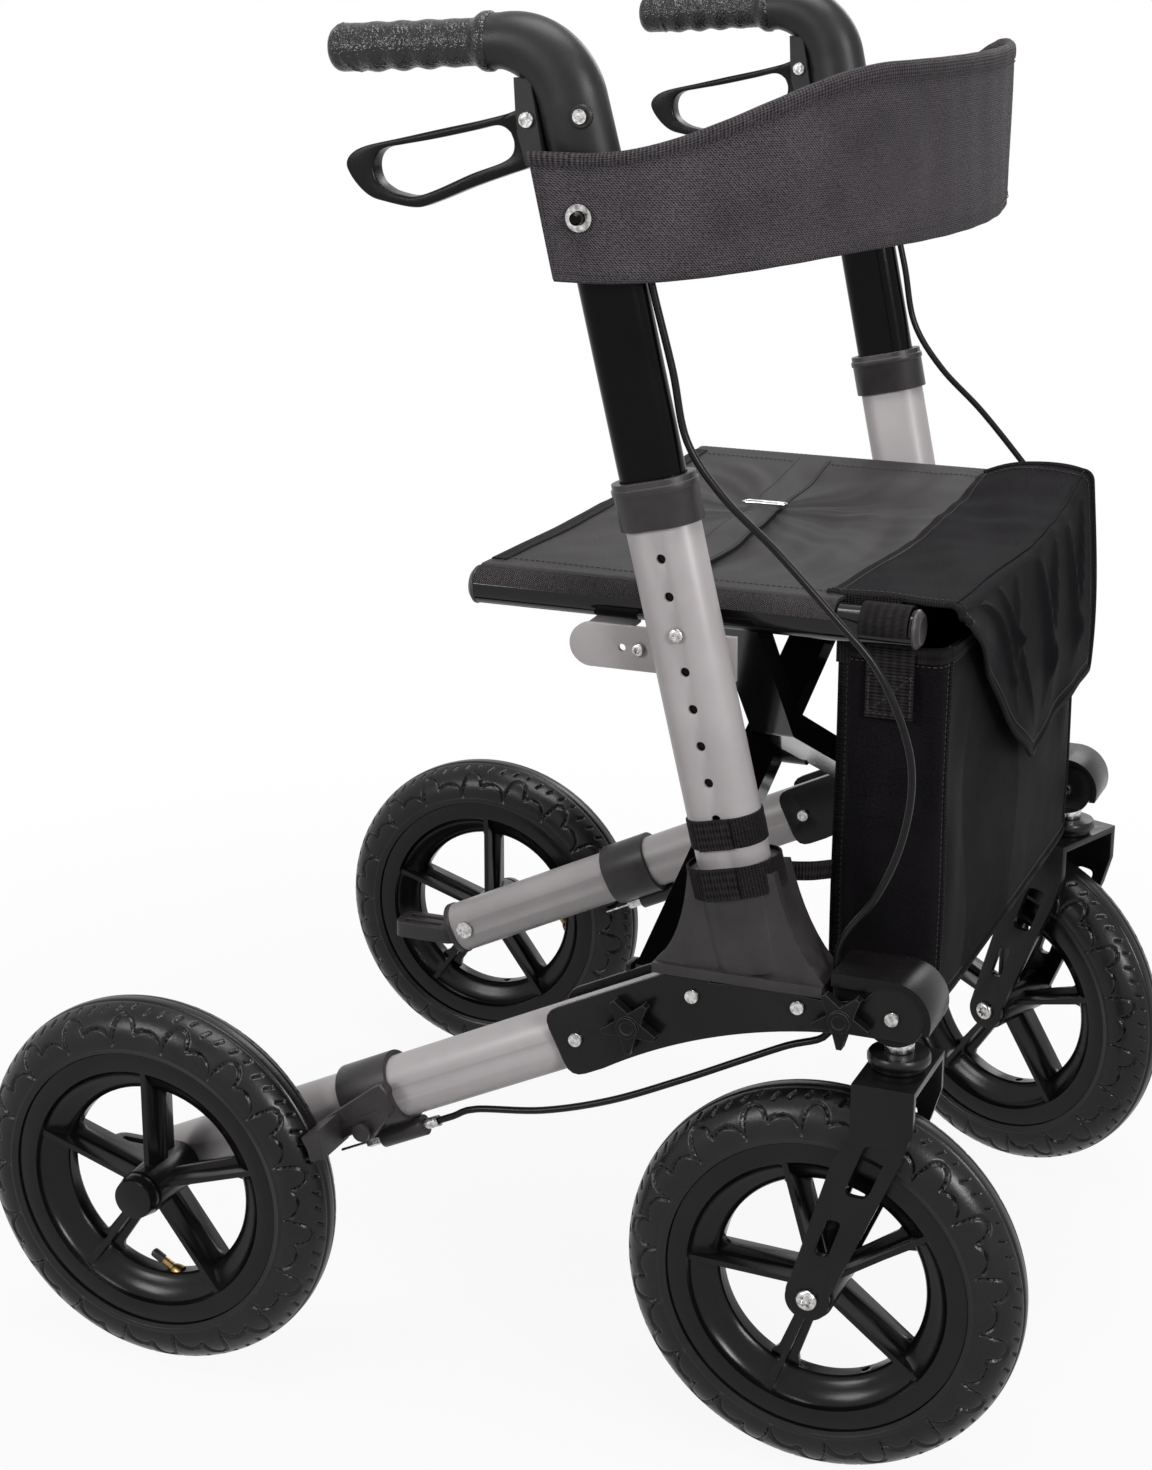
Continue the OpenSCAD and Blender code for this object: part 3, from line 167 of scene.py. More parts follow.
# Brake cables: a steel inner cable in a 5 mm black jacket. Each leaves the lever bracket, hangs in an
# open bow before the upright, dives between the side plates and runs under the leg to the brake.
sides = (("right", -1), ("left", 1))
frame_y = 253
cable_route = [
    (102.45, 16.4, 868), (108.8, 15.6, 840), (117.8, 14.3, 800), (131, 12.7, 750), (141, 12, 706),
    (165, 10, 672), (200, 8, 640), (238, 4, 600), (266, 0, 568), (285, -4, 525), (290, -5, 490),
    (284, -4, 450), (270, -2, 415), (253.5, 0, 391), (247, 0, 375), (246.5, 0, 358), (246.5, 0, 340),
    (246.5, 0, 328), (238.5, 0, 313), (214, 0, 303), (180, 1, 286), (140, 3, 266), (90, 5, 243),
    (40, 6, 227), (-10.5, 6, 218.8), (-28.5, 6, 210.1), (-45.65, 6, 201.85),
]


def finish_of(name, dark, light, rough, grain, bump, shine=0.5, blotch=9.0, edge_highlight=1.5, metal=0.0, sheen=0.0):
    """A procedural finish: tone and gloss that drift, a fine grain in relief, and paler edges that are a painted
    highlight.
    """
    mat = bpy.data.materials.new(name)
    mat.use_nodes = True
    tree = mat.node_tree
    where = add_node(tree, "ShaderNodeTexCoord").outputs["Object"]
    drift = add_node(tree, "ShaderNodeTexNoise", {"Vector": where, "Scale": blotch, "Detail": 6.0, "Roughness": 0.62})
    spread = add_node(
        tree, "ShaderNodeMapRange", {"Value": drift.outputs["Fac"], "From Min": 0.3, "From Max": 0.7}
    ).outputs["Result"]
    tones = {"Factor": spread, "A": (*dark, 1), "B": (*light, 1)}
    tone = add_node(tree, "ShaderNodeMix", tones, name="tone", data_type="RGBA").outputs["Result"]
    # Faces marked as eased edges get a paler base colour: a painted highlight along the edges.
    edge = add_node(tree, "ShaderNodeAttribute", attribute_name="edge").outputs["Fac"]
    highlight_gain = add_node(tree, "ShaderNodeMath", {0: edge, 1: edge_highlight, 2: 1.0}, operation="MULTIPLY_ADD").outputs["Value"]
    paler = add_node(tree, "ShaderNodeVectorMath", {0: tone}, operation="SCALE")
    join(tree, paler, {"Scale": highlight_gain})
    gloss = add_node(tree, "ShaderNodeMapRange", {"Value": spread, "To Min": rough[0], "To Max": rough[1]})
    peel = add_node(tree, "ShaderNodeTexNoise", {"Vector": where, "Scale": grain, "Detail": 3.0}, name="peel")
    height = {"Height": peel.outputs["Fac"], "Strength": bump, "Distance": 0.0004}
    relief = add_node(tree, "ShaderNodeBump", height, name="relief")
    join(tree, tree.nodes["Principled BSDF"], {
        "Base Color": paler.outputs["Vector"], "Roughness": gloss.outputs["Result"], "Normal": relief.outputs["Normal"],
        "Specular IOR Level": shine, "Metallic": metal, "Sheen Weight": sheen,
    })
    return mat


def spline(points, step):
    """A smooth line through the points, with a point about every step."""
    line = np.array(points, float)
    line = np.vstack([2 * line[0] - line[1], line, 2 * line[-1] - line[-2]])
    out = []
    for a, b, c, d in zip(line, line[1:], line[2:], line[3:]):
        count = max(2, round(np.linalg.norm(c - b) / step))
        square, cube = a - 2.5 * b + 2 * c - d / 2, (-a + 3 * b - 3 * c + d) / 2
        out += [b + (c - a) * t / 2 + square * t**2 + cube * t**3 for t in np.arange(count) / count]
    return np.array(out + [line[-2]])


def turns(count):
    """Angles once round, evenly spaced."""
    return 2 * pi * np.arange(count) / count


def circle(radius, count):
    """A round section."""
    return [(radius * cos(t), radius * sin(t)) for t in turns(count)]


def skin(rings, closed=False):
    """Points and faces of a skin over rings of points, with its ends capped or joined."""
    rings = np.asarray(rings, float)
    count, size = rings.shape[:2]
    faces = []
    for i in range(count if closed else count - 1):
        this, other = i * size, (i + 1) % count * size
        faces += [(this + j, this + (j + 1) % size, other + (j + 1) % size, other + j) for j in range(size)]
    if not closed:
        faces += [tuple(range(size))[::-1], tuple(range((count - 1) * size, count * size))]
    return rings.reshape(-1, 3), faces


def sweep(path, section, up=(0, 0, 1), closed=False):
    """A section of (across, out) pairs carried along a path, with out kept near the up direction."""
    path = np.asarray(path, float)
    if closed:
        along = np.roll(path, -1, 0) - np.roll(path, 1, 0)
    else:
        along = np.gradient(path, axis=0)
    along /= np.linalg.norm(along, axis=1)[:, None]
    outs = np.broadcast_to(np.asarray(up, float), path.shape)
    rings = []
    for point, t, out in zip(path, along, outs):
        out = out - t * (out @ t)
        out = out / np.linalg.norm(out)
        across = np.cross(t, out)
        rings.append([point + a * across + o * out for a, o in section])
    return skin(rings, closed)


def mesh_of(name, shape):
    """A mesh from points in millimetres and faces, with its faces turned outward."""
    mesh = bpy.data.meshes.new(name)
    mesh.from_pydata((np.asarray(shape[0], float) * 0.001).tolist(), [], shape[1])
    work = bmesh.new()
    work.from_mesh(mesh)
    bmesh.ops.recalc_face_normals(work, faces=work.faces)
    work.to_mesh(mesh)
    work.free()
    return mesh


def add_mesh(name, mesh, mat, body, replaces=(), sharp=35.0):
    """A piece from a mesh, smooth but for its real edges, on its body."""
    mesh.materials.clear()
    mesh.materials.append(mat)
    mesh.shade_smooth()
    mesh.set_sharp_from_angle(angle=radians(sharp))
    made = new_object(name, mesh)
    if body:
        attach(made, body)
    if replaces:
        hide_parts(*replaces)
    return made


def add_piece(name, shape, mat, body, replaces=(), sharp=35.0, uv=None):
    """A piece from points in millimetres and faces, with UV in millimetres for each point if it is cloth."""
    mesh = mesh_of(name, shape)
    if uv is not None:
        layer = mesh.uv_layers.new(name="UVMap")
        corner = np.zeros(len(mesh.loops), int)
        mesh.loops.foreach_get("vertex_index", corner)
        layer.data.foreach_set("uv", (np.asarray(uv, float) * 0.001)[corner].astype(np.float32).ravel())
    return add_mesh(name, mesh, mat, body, replaces, sharp)


cable_jacket = finish_of(
    "cable_jacket", (0.004, 0.0034, 0.0036), (0.007, 0.006, 0.0064), (0.22, 0.32), 600, 0.1, 0.16
)
for side, g in sides:
    line = spline([(x, g * (frame_y + y), z) for x, y, z in cable_route], 5)
    cable = add_piece(
        "cable_" + side, sweep(line, circle(2.5, 14), (0.3, 1, 0.2)), cable_jacket, None,
        ["brake_cable_" + side],
    )
    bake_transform(cable)

# Lower uprights, rear legs and seat rest brackets: flat oval aluminium tube and folded sheet,
# cut, drilled and powder coated in a plain warm grey with a faint orange peel.


def paint(node, mat):
    """Gives a carried-over solid its finish."""
    mesh = frame["nodes"][node].data
    mesh.materials.clear()
    mesh.materials.append(mat)


def eased(node, mat, width, segments=3):
    """The solid again with its hard edges eased, as moulded and deburred pieces have them."""
    mesh = frame["nodes"][node].data.copy()
    work = bmesh.new()
    work.from_mesh(mesh)
    bmesh.ops.remove_doubles(work, verts=work.verts, dist=2e-6)
    bmesh.ops.dissolve_limit(work, angle_limit=radians(0.5), verts=work.verts, edges=work.edges)
    edges = [e for e in work.edges if len(e.link_faces) == 2 and e.calc_face_angle(0) > radians(30)]
    # The eased faces are marked here for the painted highlight along the edges.
    edge_highlight = work.faces.layers.float.new("edge")
    rounded = bmesh.ops.bevel(
        work, geom=edges, offset=width * 0.001, offset_type="OFFSET", segments=segments, profile=0.5,
        affect="EDGES", clamp_overlap=True,
    )
    for face in rounded["faces"]:
        face[edge_highlight] = 1.0
    bmesh.ops.triangulate(work, faces=[f for f in work.faces if len(f.verts) > 4])
    work.to_mesh(mesh)
    work.free()
    return add_mesh("eased_" + node, mesh, mat, frame["nodes"][node]["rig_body"], [node], 40.0)


grey_coat = finish_of(
    "grey_powder_coat", (0.3, 0.278, 0.281), (0.36, 0.335, 0.339), (0.34, 0.48), 900, 0.12, 0.5, 12.0, 0.25
)
for side, _ in sides:
    eased("lower_tube_" + side, grey_coat, 0.4, 2)
    eased("rear_leg_" + side, grey_coat, 0.4, 2)
    eased("seat_bracket_" + side, grey_coat, 0.7)

# Side plates and castor forks: steel blanked, bent and covered with satin black powder coat; a brighter
# line along the cut edges is a painted highlight.
black_coat = finish_of(
    "black_powder_coat", (0.0046, 0.0042, 0.0044), (0.0085, 0.0077, 0.0081), (0.2, 0.3), 700, 0.12, 0.17, 14.0, 6.0
)
for side, _ in sides:
    eased("side_plates_" + side, black_coat, 0.6)
    eased("castor_fork_" + side, black_coat, 0.9)

# Moulded frame pieces: the flared socket at the foot of the upright, the collar on its tube, the leg
# plug, the brake clamp, the castor head and the knobs are nylon with softened edges and a fine grain.
nylon = finish_of(
    "moulded_nylon", (0.016, 0.0144, 0.0153), (0.033, 0.0298, 0.0315), (0.3, 0.44), 1500, 0.3, 0.28, 30.0, 1.2
)
# A darker copy of the same nylon for the castor head, the knobs and the lever: painted shade.
shaded_nylon = finish_of(
    "moulded_nylon_painted_shade", (0.005, 0.0045, 0.0048), (0.0095, 0.0086, 0.009), (0.2, 0.3), 1500, 0.25, 0.11, 30.0, 4.0
)
for side, _ in sides:
    for node, width, mat in (
        ("post_socket_", 1.4, nylon), ("collar_", 1.2, nylon), ("leg_end_", 1.2, nylon), ("brake_clamp_", 1.0, nylon),
        ("head_block_", 2.0, shaded_nylon), ("knob_rear_", 1.3, shaded_nylon), ("knob_front_", 1.3, shaded_nylon),
    ):
        eased(node + side, mat, width)

# Straps: hook and loop tape wound round the foot of each upright and over the socket, with a short
# tie that holds the side of the bag back.
lean, splay = radians(12.7), radians(1.8)
post_foot = np.array([194.0, frame_y, 345.0])
post_dir = np.array([-sin(lean) * cos(splay), sin(splay), cos(lean) * cos(splay)])
post_x = np.array([cos(lean), 0.0, sin(lean)])
post_y = np.cross(post_dir, post_x)


def on_post(h, x, y, g):
    """A point at height h along the upright of one side, x forward and y outward of its middle."""
    return (post_foot + h * post_dir + x * post_x + y * post_y) * (1, g, 1)


def oval(width, depth, count=20):
    """A flat oval: half rounds joined by straight sides."""
    r = depth / 2
    reach = width / 2 - r
    front = [(reach + r * cos(t), r * sin(t)) for t in np.linspace(-pi / 2, pi / 2, count)]
    return front + [(-x, -y) for x, y in front]


def cloth_of(name, dark, light, rough, pitch, relief, sheen, twill=1.0, contrast=0.6, shine=0.03):
    """Woven cloth on UV in metres: ribs crossed by single threads, lighter threads over dark with painted glints on
    them, under a broad random drift of tone.
    """
    mat = finish_of(name, dark, light, rough, 260, 0.3, shine, 16.0, sheen=sheen)
    tree = mat.node_tree

    def value(kind, a, b=0.0):
        return add_node(tree, "ShaderNodeMath", {0: a, 1: b}, operation=kind).outputs[0]

    where = add_node(tree, "ShaderNodeTexCoord").outputs["UV"]
    split = add_node(tree, "ShaderNodeSeparateXYZ", {0: where}).outputs
    turn = 2 * pi / pitch
    slope = value("ADD", split["X"], value("MULTIPLY", split["Y"], twill))
    rib = value("SINE", value("MULTIPLY", slope, turn))
    yarn = value("SINE", value("MULTIPLY", split["Y"], turn * 1.5))
    weave = value("ADD", value("MULTIPLY", rib, 0.6), value("MULTIPLY", yarn, 0.4))
    fuzz_and_glint = add_node(tree, "ShaderNodeTexNoise", {"Vector": where, "Scale": 1.0 / pitch, "Detail": 4.0}).outputs["Fac"]
    weave = value("ADD", weave, value("MULTIPLY", value("SUBTRACT", fuzz_and_glint, 0.5), 2.2))
    join(tree, tree.nodes["relief"], {"Strength": relief, "Distance": 0.0005, "Height": weave})
    # The weave and its speckle lighten the base colour: the thread pattern, with painted glints on the threads.
    light_share = value("MAXIMUM", value("ADD", value("MULTIPLY", weave, contrast), 1.0), 0.15)
    shade = add_node(tree, "ShaderNodeVectorMath", {0: tree.nodes["tone"].outputs["Result"]}, operation="SCALE")
    join(tree, shade, {"Scale": light_share})
    join(tree, tree.nodes["Principled BSDF"], {"Base Color": shade.outputs["Vector"]})
    return mat


webbing = cloth_of(
    "webbing", (0.011, 0.0099, 0.0106), (0.019, 0.0171, 0.0183), (0.55, 0.7), 0.0022, 0.9, 0.01, 0.0, 0.7
)


def strip(name, path, section, up, step, wide, body, mat=webbing, closed=False):
    """A sewn strip or piping: a section carried along a path, its UV step long for each point and wide across."""
    size = len(section)
    uv = [(i * step, j * wide / size) for i in range(len(path)) for j in range(size)]
    return add_piece(name, sweep(path, section, up, closed), mat, body, uv=uv)


def flat_section(half, low, high):
    """The section of a flat tape."""
    return [(-half, low), (half, low), (half, high), (-half, high)]


strap_sizes = (("tube_strap_", 52.6, 34.6, 99.5, 120.0), ("socket_strap_", 65.2, 47.2, 67.0, 88.5))
for side, g in sides:
    for name, width, depth, low, high in strap_sizes:
        levels = ((low, -1.6), (low + 0.6, 0.0), (high - 0.6, 0.0), (high, -1.6), (high, -3.8), (low, -3.8))
        rings = [[on_post(h, x, y, g) for x, y in oval(width + grow, depth + grow)] for h, grow in levels]
        loop = np.array(oval(width, depth))
        length = np.r_[0, np.cumsum(np.linalg.norm(np.diff(loop, axis=0), axis=1))]
        uv = [(along, h + grow) for h, grow in levels for along in length]
        add_piece(name + side, skin(rings, closed=True), webbing, "frame_" + side, uv=uv)
        half = (high - low) / 2 - 0.3
        patch = [(-0.8, -half), (0.8, -half), (1.0, 0), (0.8, half), (-0.8, half), (-1.0, 0)]
        tail = [on_post((low + high) / 2, x, depth / 2 + 0.7, g) for x in np.linspace(-15, 9, 9)]
        up = on_post(1, 0, 0, g) - on_post(0, 0, 0, g)
        strip(name + "tail_" + side, tail, patch, up, 3, 18, "frame_" + side)
    tie = spline([(196, g * 229, 417), (206, g * 231, 418), (219, g * 226, 418), (229, g * 215, 417)], 3)
    strip("bag_tie_" + side, tie, flat_section(6.5, -0.7, 0.7), (0.4, g, 0), 3, 13, "frame_" + side)

# Wheels: 280 x 50 mm air tyres with a scalloped all terrain tread on moulded rims with a deep well and
# five ribbed spokes, each with a brass valve. The near front wheel stands turned on its axle, and the
# far castor is swung.
rubber = finish_of(
    "tyre_rubber", (0.0044, 0.004, 0.0042), (0.0098, 0.009, 0.0094), (0.22, 0.36), 420, 0.22, 0.24, 24.0
)
rim_black = finish_of(
    "moulded_rim", (0.003, 0.0027, 0.0029), (0.0058, 0.0053, 0.0056), (0.16, 0.28), 1100, 0.1, 0.2, 20.0, 4.0
)
brass = finish_of("brass", (0.22, 0.14, 0.055), (0.34, 0.22, 0.09), (0.25, 0.4), 500, 0.1, metal=1.0)
lobe_pitch = 45.4
lobe_line = [
    (0, 41), (2.5, 35), (7, 30.5), (14, 28.3), (20, 29.2), (24.6, 32), (25.6, 29), (27, 24), (30, 20),
    (34.5, 18.2), (39, 20), (42, 25), (44, 33), (lobe_pitch, 41),
]
tread_dashes = np.array(
    [((6, 11), (9, 16)), ((17, 11), (20, 17)), ((29, 9), (31, 13)), ((40, 10), (42.5, 15))], float
)


def tread_depth(along, across, pitch):
    """How far the tread is cut at a place, in mm: lobed sipes on the shoulder, dashes, crown grooves."""
    lobes = spline(lobe_line, 1.0) * (pitch / lobe_pitch, 1)
    place = np.stack([along, across], -1)

    def from_line(a, b):
        t = np.clip(((place - a) @ (b - a)) / ((b - a) @ (b - a)), 0, 1)
        return np.linalg.norm(place - a - t[..., None] * (b - a), axis=-1)

    near = np.full(along.shape, 99.0)
    for shift in (-pitch, 0, pitch):
        for a, b in zip(lobes, lobes[1:]):
            near = np.minimum(near, from_line(a + (shift, 0), b + (shift, 0)))
    for a, b in tread_dashes:
        near = np.minimum(near, from_line(a, b) + 0.25)
    cut = 1.7 * np.clip(1.35 - near, 0, 1) ** 0.8
    edge = np.interp(along % pitch, lobes[:, 0], lobes[:, 1])
    cut += 0.45 * np.clip((across - edge) / 1.5, 0, 1) * (across < 43)
    cut += 1.1 * np.clip(1.3 - np.abs(across - 5.0), 0, 1)
    return cut - 0.5 * np.clip(1.2 - np.abs(across - 44.2), 0, 1)


def tyre_shape(lobes_round=18, steps=46):
    """Points of a tyre about the y axis, with its tread cut in, and the faces of its closed section."""
    middle, bulge, air = 115, 25, 20.5
    count = lobes_round * steps
    pitch = 2 * pi * 130 / lobes_round
    phi = np.radians(np.linspace(-111, 111, 99))
    along, lie = np.meshgrid(np.arange(steps) * pitch / steps, phi, indexing="ij")
    depth = tread_depth(np.where(lie < 0, along, (pitch * 1.5 - along) % pitch), bulge * np.abs(lie), pitch)
    outer = np.stack([middle + (bulge - depth) * np.cos(lie), (bulge - depth) * np.sin(lie)], -1)
    inner = [(middle + air * cos(t), air * sin(t)) for t in np.radians(np.linspace(126, -126, 9))]
    inner = [(105.9, 18.2), (101.9, 18.0)] + inner + [(101.9, -18.0), (105.9, -18.2)]
    section = np.concatenate([outer, np.broadcast_to(np.array(inner), (steps, len(inner), 2))], 1)
    section = np.tile(section, (lobes_round, 1, 1))
    turn = turns(count)[:, None]
    rings = np.stack([section[..., 0] * np.cos(turn), section[..., 1], section[..., 0] * np.sin(turn)], -1)
    return skin(rings, closed=True)


def lathe(profile, count=32):
    """A turned form about the z axis from (radius, height) pairs."""
    return skin([[(x, y, h) for x, y in circle(r, count)] for r, h in profile])


def moved(shape, place):
    """The shape with a 4 x 4 placing applied."""
    turn = np.array(place)
    return np.asarray(shape[0]) @ turn[:3, :3].T + turn[:3, 3], shape[1]


def turned(angle, axis):
    """A placing turned by an angle in degrees."""
    return Matrix.Rotation(radians(angle), 4, axis)


hub_x, hub_z, well_r, far_swing = 244.5, 140, 76, -21
wheels = (
    ("rear", "right", Matrix.Translation((-hub_x, -300, hub_z)), 80, 49),
    ("rear", "left", Matrix.Translation((-hub_x, 300, hub_z)), 8, -40),
    ("front", "right", Matrix.Translation((hub_x, -frame_y, hub_z)) @ turned(-16, "Y"), 296, -14),
    ("front", "left", Matrix.Translation((247.56, 269.49, hub_z)) @ turned(far_swing, "Z"), 224, 20),
)
valve_stem = [
    (0, 0), (6, 0), (5.4, 3), (4.2, 6), (3.2, 7), (3.2, 9), (2.9, 9.3), (2.9, 15), (2.4, 15.5), (2.4, 16), (0, 16),
]
valve_cap = [(0, 16), (3.3, 16), (3.5, 16.6), (3.5, 24), (3.1, 25.4), (1.6, 26.2), (0, 26.3)]
tyre = tyre_shape()
for end, side, place, valve_at, slant in wheels:
    wheel, name = end + "_wheel_" + side, end + "_tyre_" + side
    add_piece("treaded_" + name, moved(tyre, place), rubber, wheel, [name], 50.0)
    eased(end + "_rim_" + side, rim_black, 0.9, 2)
    valve = place @ turned(valve_at, "Y") @ Matrix.Translation((well_r, 0, 0)) @ turned(-90 - slant, "Y")
    add_piece("valve_stem_" + wheel, moved(lathe(valve_stem, 24), valve), brass, wheel)
    add_piece("valve_cap_" + wheel, moved(lathe(valve_cap, 24), valve), nylon, wheel)

# Castor bearings: a zinc plated stem with its nut stands between the fork crown and the head, over a
# soft dust disc; the front axle runs through the fork with a cap on each end.
# The zinc's fine dark and bright mottle is painted reflection: dark and bright surroundings as seen in the metal.
zinc = finish_of(
    "zinc_plated_steel", (0.16, 0.155, 0.15), (0.78, 0.77, 0.76), (0.16, 0.34), 400, 0.3, 0.5, 330.0, metal=1.0
)
castor_x, trail = 290.5, 46
castor_stem = [
    (0, 296), (6, 296), (6, 313), (9.6, 313.2), (10, 314), (10, 320.5), (9.4, 321.6), (6, 321.8), (6, 354), (0, 355),
]
dust_disc = [
    (6.4, 301.2), (17.2, 301.2), (18, 302), (18.2, 304.6), (20.2, 305.4), (21, 306.6), (21, 310.4), (19.8, 312.2),
    (12, 313), (6.4, 313),
]
front_axle = [(0, -39), (6, -39), (6, 39), (0, 39)]
swings = {
    side: Matrix.Translation((castor_x, g * frame_y, 0)) @ turned(far_swing if g > 0 else 0, "Z") for side, g in sides
}
for side, g in sides:
    castor, swing = "castor_" + side, swings[side]
    stem = moved(lathe(castor_stem), swing)
    add_piece("castor_stem_" + side, stem, zinc, castor, ["castor_bearing_" + side])
    add_piece("dust_disc_" + side, moved(lathe(dust_disc), swing), rubber, castor)
    across = swing @ Matrix.Translation((-trail, 0, hub_z)) @ turned(90, "X")
    add_piece("front_axle_" + side, moved(lathe(front_axle), across), zinc, castor)

# Upper tubes: flat oval steel tube in gloss black enamel, and the same enamel on the cross brace with
# its seat rails, which end in nylon caps.
enamel_dark, enamel_light = (0.002, 0.0018, 0.0019), (0.0034, 0.0031, 0.0033)
rail_enamel = finish_of("rail_enamel", enamel_dark, enamel_light, (0.07, 0.13), 350, 0.04, 0.3)
enamel = finish_of("gloss_black_enamel", enamel_dark, enamel_light, (0.1, 0.18), 350, 0.05, 0.08)
for side, g in sides:
    tube = skin([[on_post(h, x, y, g) for x, y in oval(44.5, 26.5)] for h in np.linspace(140, 542, 12)])
    add_piece("upper_tube_" + side, tube, enamel, "handle_" + side, ["handle_tube_" + side])
    paint("brace_bar_" + side, rail_enamel)
    eased("rail_caps_" + side, nylon, 0.7)

# Elbows: one hollow moulding from the top of each upright round to the grip, with the lever bracket
# bolted to its rear.
satin = finish_of(
    "satin_moulding", (0.01, 0.0091, 0.0099), (0.018, 0.0165, 0.0178), (0.34, 0.44), 1700, 0.25, 0.24, 18.0
)
foot_y, handle_y = 270.0, 272.47
pivot = np.array([40.51, 901.16])
bend_middle, bend_r = np.array([21.51, 901.16]), 46
elbow_foot = np.array([74.7, 874.3])
elbow_start = bend_middle + bend_r * np.array([cos(lean), sin(lean)])
elbow_screw = (78.4, 904.8)
grip_way = np.array([-0.998, -0.0628])
ear = pivot + np.array([(-9, 25), (2, 25), (5, 10), (9, -12), (12, -28), (-1, -28), (-6.5, -9), (-8, 4)])
web = pivot + np.array([(-3, 25), (2, 25), (5, 10), (9, -12), (12, -28), (8.5, -28), (6, -12), (1.5, 8)])
screw_ring = [(0, 0), (7.4, 0), (7.4, 1.9), (6.6, 2.6), (5.2, 2.6), (5, 2.1), (0, 2.1)]


def upright(points, g, low, high, ease=0.0):
    """An outline in the x-z plane made solid between two distances from the middle of the walker."""
    points = np.array(points, float)
    inward = points.mean(0) - points
    inward /= np.linalg.norm(inward, axis=1)[:, None]
    rings = []
    for y, pull in ((low, ease), (low + ease, 0), (high - ease, 0), (high, ease)):
        rings.append([(x, g * y, z) for x, z in points + inward * pull])
    return skin(rings)


def elbow_ring(at, y, turn, reach, wide, g):
    """One oval section of the elbow: reach is its half length at a turn in the x-z plane, wide its half width."""
    return [
        (at[0] + reach * cos(a) * cos(turn), g * (y + wide * sin(a)), at[1] + reach * cos(a) * sin(turn))
        for a in turns(48)
    ]


for side, g in sides:
    handle = "handle_" + side
    rings = []
    for s in np.linspace(0, 1, 8)[:-1]:
        at = elbow_foot + (elbow_start - elbow_foot) * s
        rings.append(elbow_ring(at, foot_y + (handle_y - foot_y) * s, lean, 23 - 0.5 * s, 17 + 0.5 * s, g))
    for t in np.linspace(0, 1, 30):
        turn = lean + radians(80.9) * t
        at = bend_middle + bend_r * np.array([cos(turn), sin(turn)])
        rings.append(elbow_ring(at, handle_y, turn, 22.5 - 5.5 * t**2, 17.5 - 0.5 * t, g))
    bend_end = np.array(rings[-1])
    rings += [bend_end + h * np.array([grip_way[0], 0, grip_way[1]]) for h in (1.8, 3.6, 5.4)]
    add_piece("bent_elbow_" + side, skin(rings), satin, handle, ["elbow_" + side])
    for part, outline, low, high, ease in (
        ("bracket_outer_", ear, 8.1, 11.9, 0.6), ("bracket_inner_", ear, -11.9, -8.1, 0.6),
        ("bracket_web_", web, -8.4, 8.4, 0.0),
    ):
        solid = upright(outline, g, handle_y + low, handle_y + high, ease)
        add_piece(part + side, solid, satin, handle)
    boss = Matrix.Translation((elbow_screw[0], g * (handle_y + 15.5), elbow_screw[1])) @ turned(-90 * g, "X")
    add_piece("screw_ring_" + side, moved(lathe(screw_ring), boss), satin, handle)

# Grips: soft rubber pushed over the end of each elbow, with a flared flange, shallow finger waves
# below, a pebbled face and a smooth slanted cap at the rear end.
pebbles = finish_of(
    "pebbled_rubber", (0.005, 0.0045, 0.0048), (0.009, 0.0082, 0.0087), (0.2, 0.3), 480, 1.0, 0.4
)
pebbles.node_tree.nodes["relief"].inputs["Distance"].default_value = 0.0011
pebbles.node_tree.nodes["peel"].inputs["Detail"].default_value = 1.0
grip_root = np.array([13.63, 946.76])
wave_first, wave_last, wave_pitch, end_from = 20, 96, 18, 104


def grip_radius(h, a):
    """Radius of the grip at a distance from its flange and an angle, 0 outward and 90 degrees on top."""
    neck = 0.5 - 0.5 * cos(pi * np.clip((h - 4.5) / 9, 0, 1))
    r = 18.4 - 3.9 * neck + 0.5 * np.clip((h - 20) / 60, 0, 1)
    if wave_first < h < wave_last:
        below = np.clip(-sin(a), 0, 1)
        fade = sin(pi * (h - wave_first) / (wave_last - wave_first)) ** 0.5
        r += (0.45 + 0.5 * below) * cos((h - 26) * 2 * pi / wave_pitch) * fade
    cap_line = 97 + 7 * sin(a + 0.6)
    r += 0.8 * exp(-(((h - cap_line) / 1.1) ** 2)) - 0.35 * (h > cap_line)
    if h > end_from:
        r -= 8.25 * (1 - sqrt(max(0.0, 1 - ((h - end_from) / 6.6) ** 2)))
    if h < 1:
        r -= 1.2 - h
    return r


heights = np.r_[0, 0.6, np.linspace(1.5, 20, 18), np.linspace(21.5, 104, 60), 106.2, 108, 109.3, 110]
for side, g in sides:
    rings = []
    for h in heights:
        x, z = grip_root + grip_way * h
        spokes = [(a, grip_radius(h, a)) for a in turns(64)]
        rings.append([
            (x + r * sin(a) * grip_way[1], g * (handle_y + r * cos(a)), z - r * sin(a) * grip_way[0]) for a, r in spokes
        ])
    add_piece("pebbled_grip_" + side, skin(rings), pebbles, "handle_" + side, ["grip_" + side])

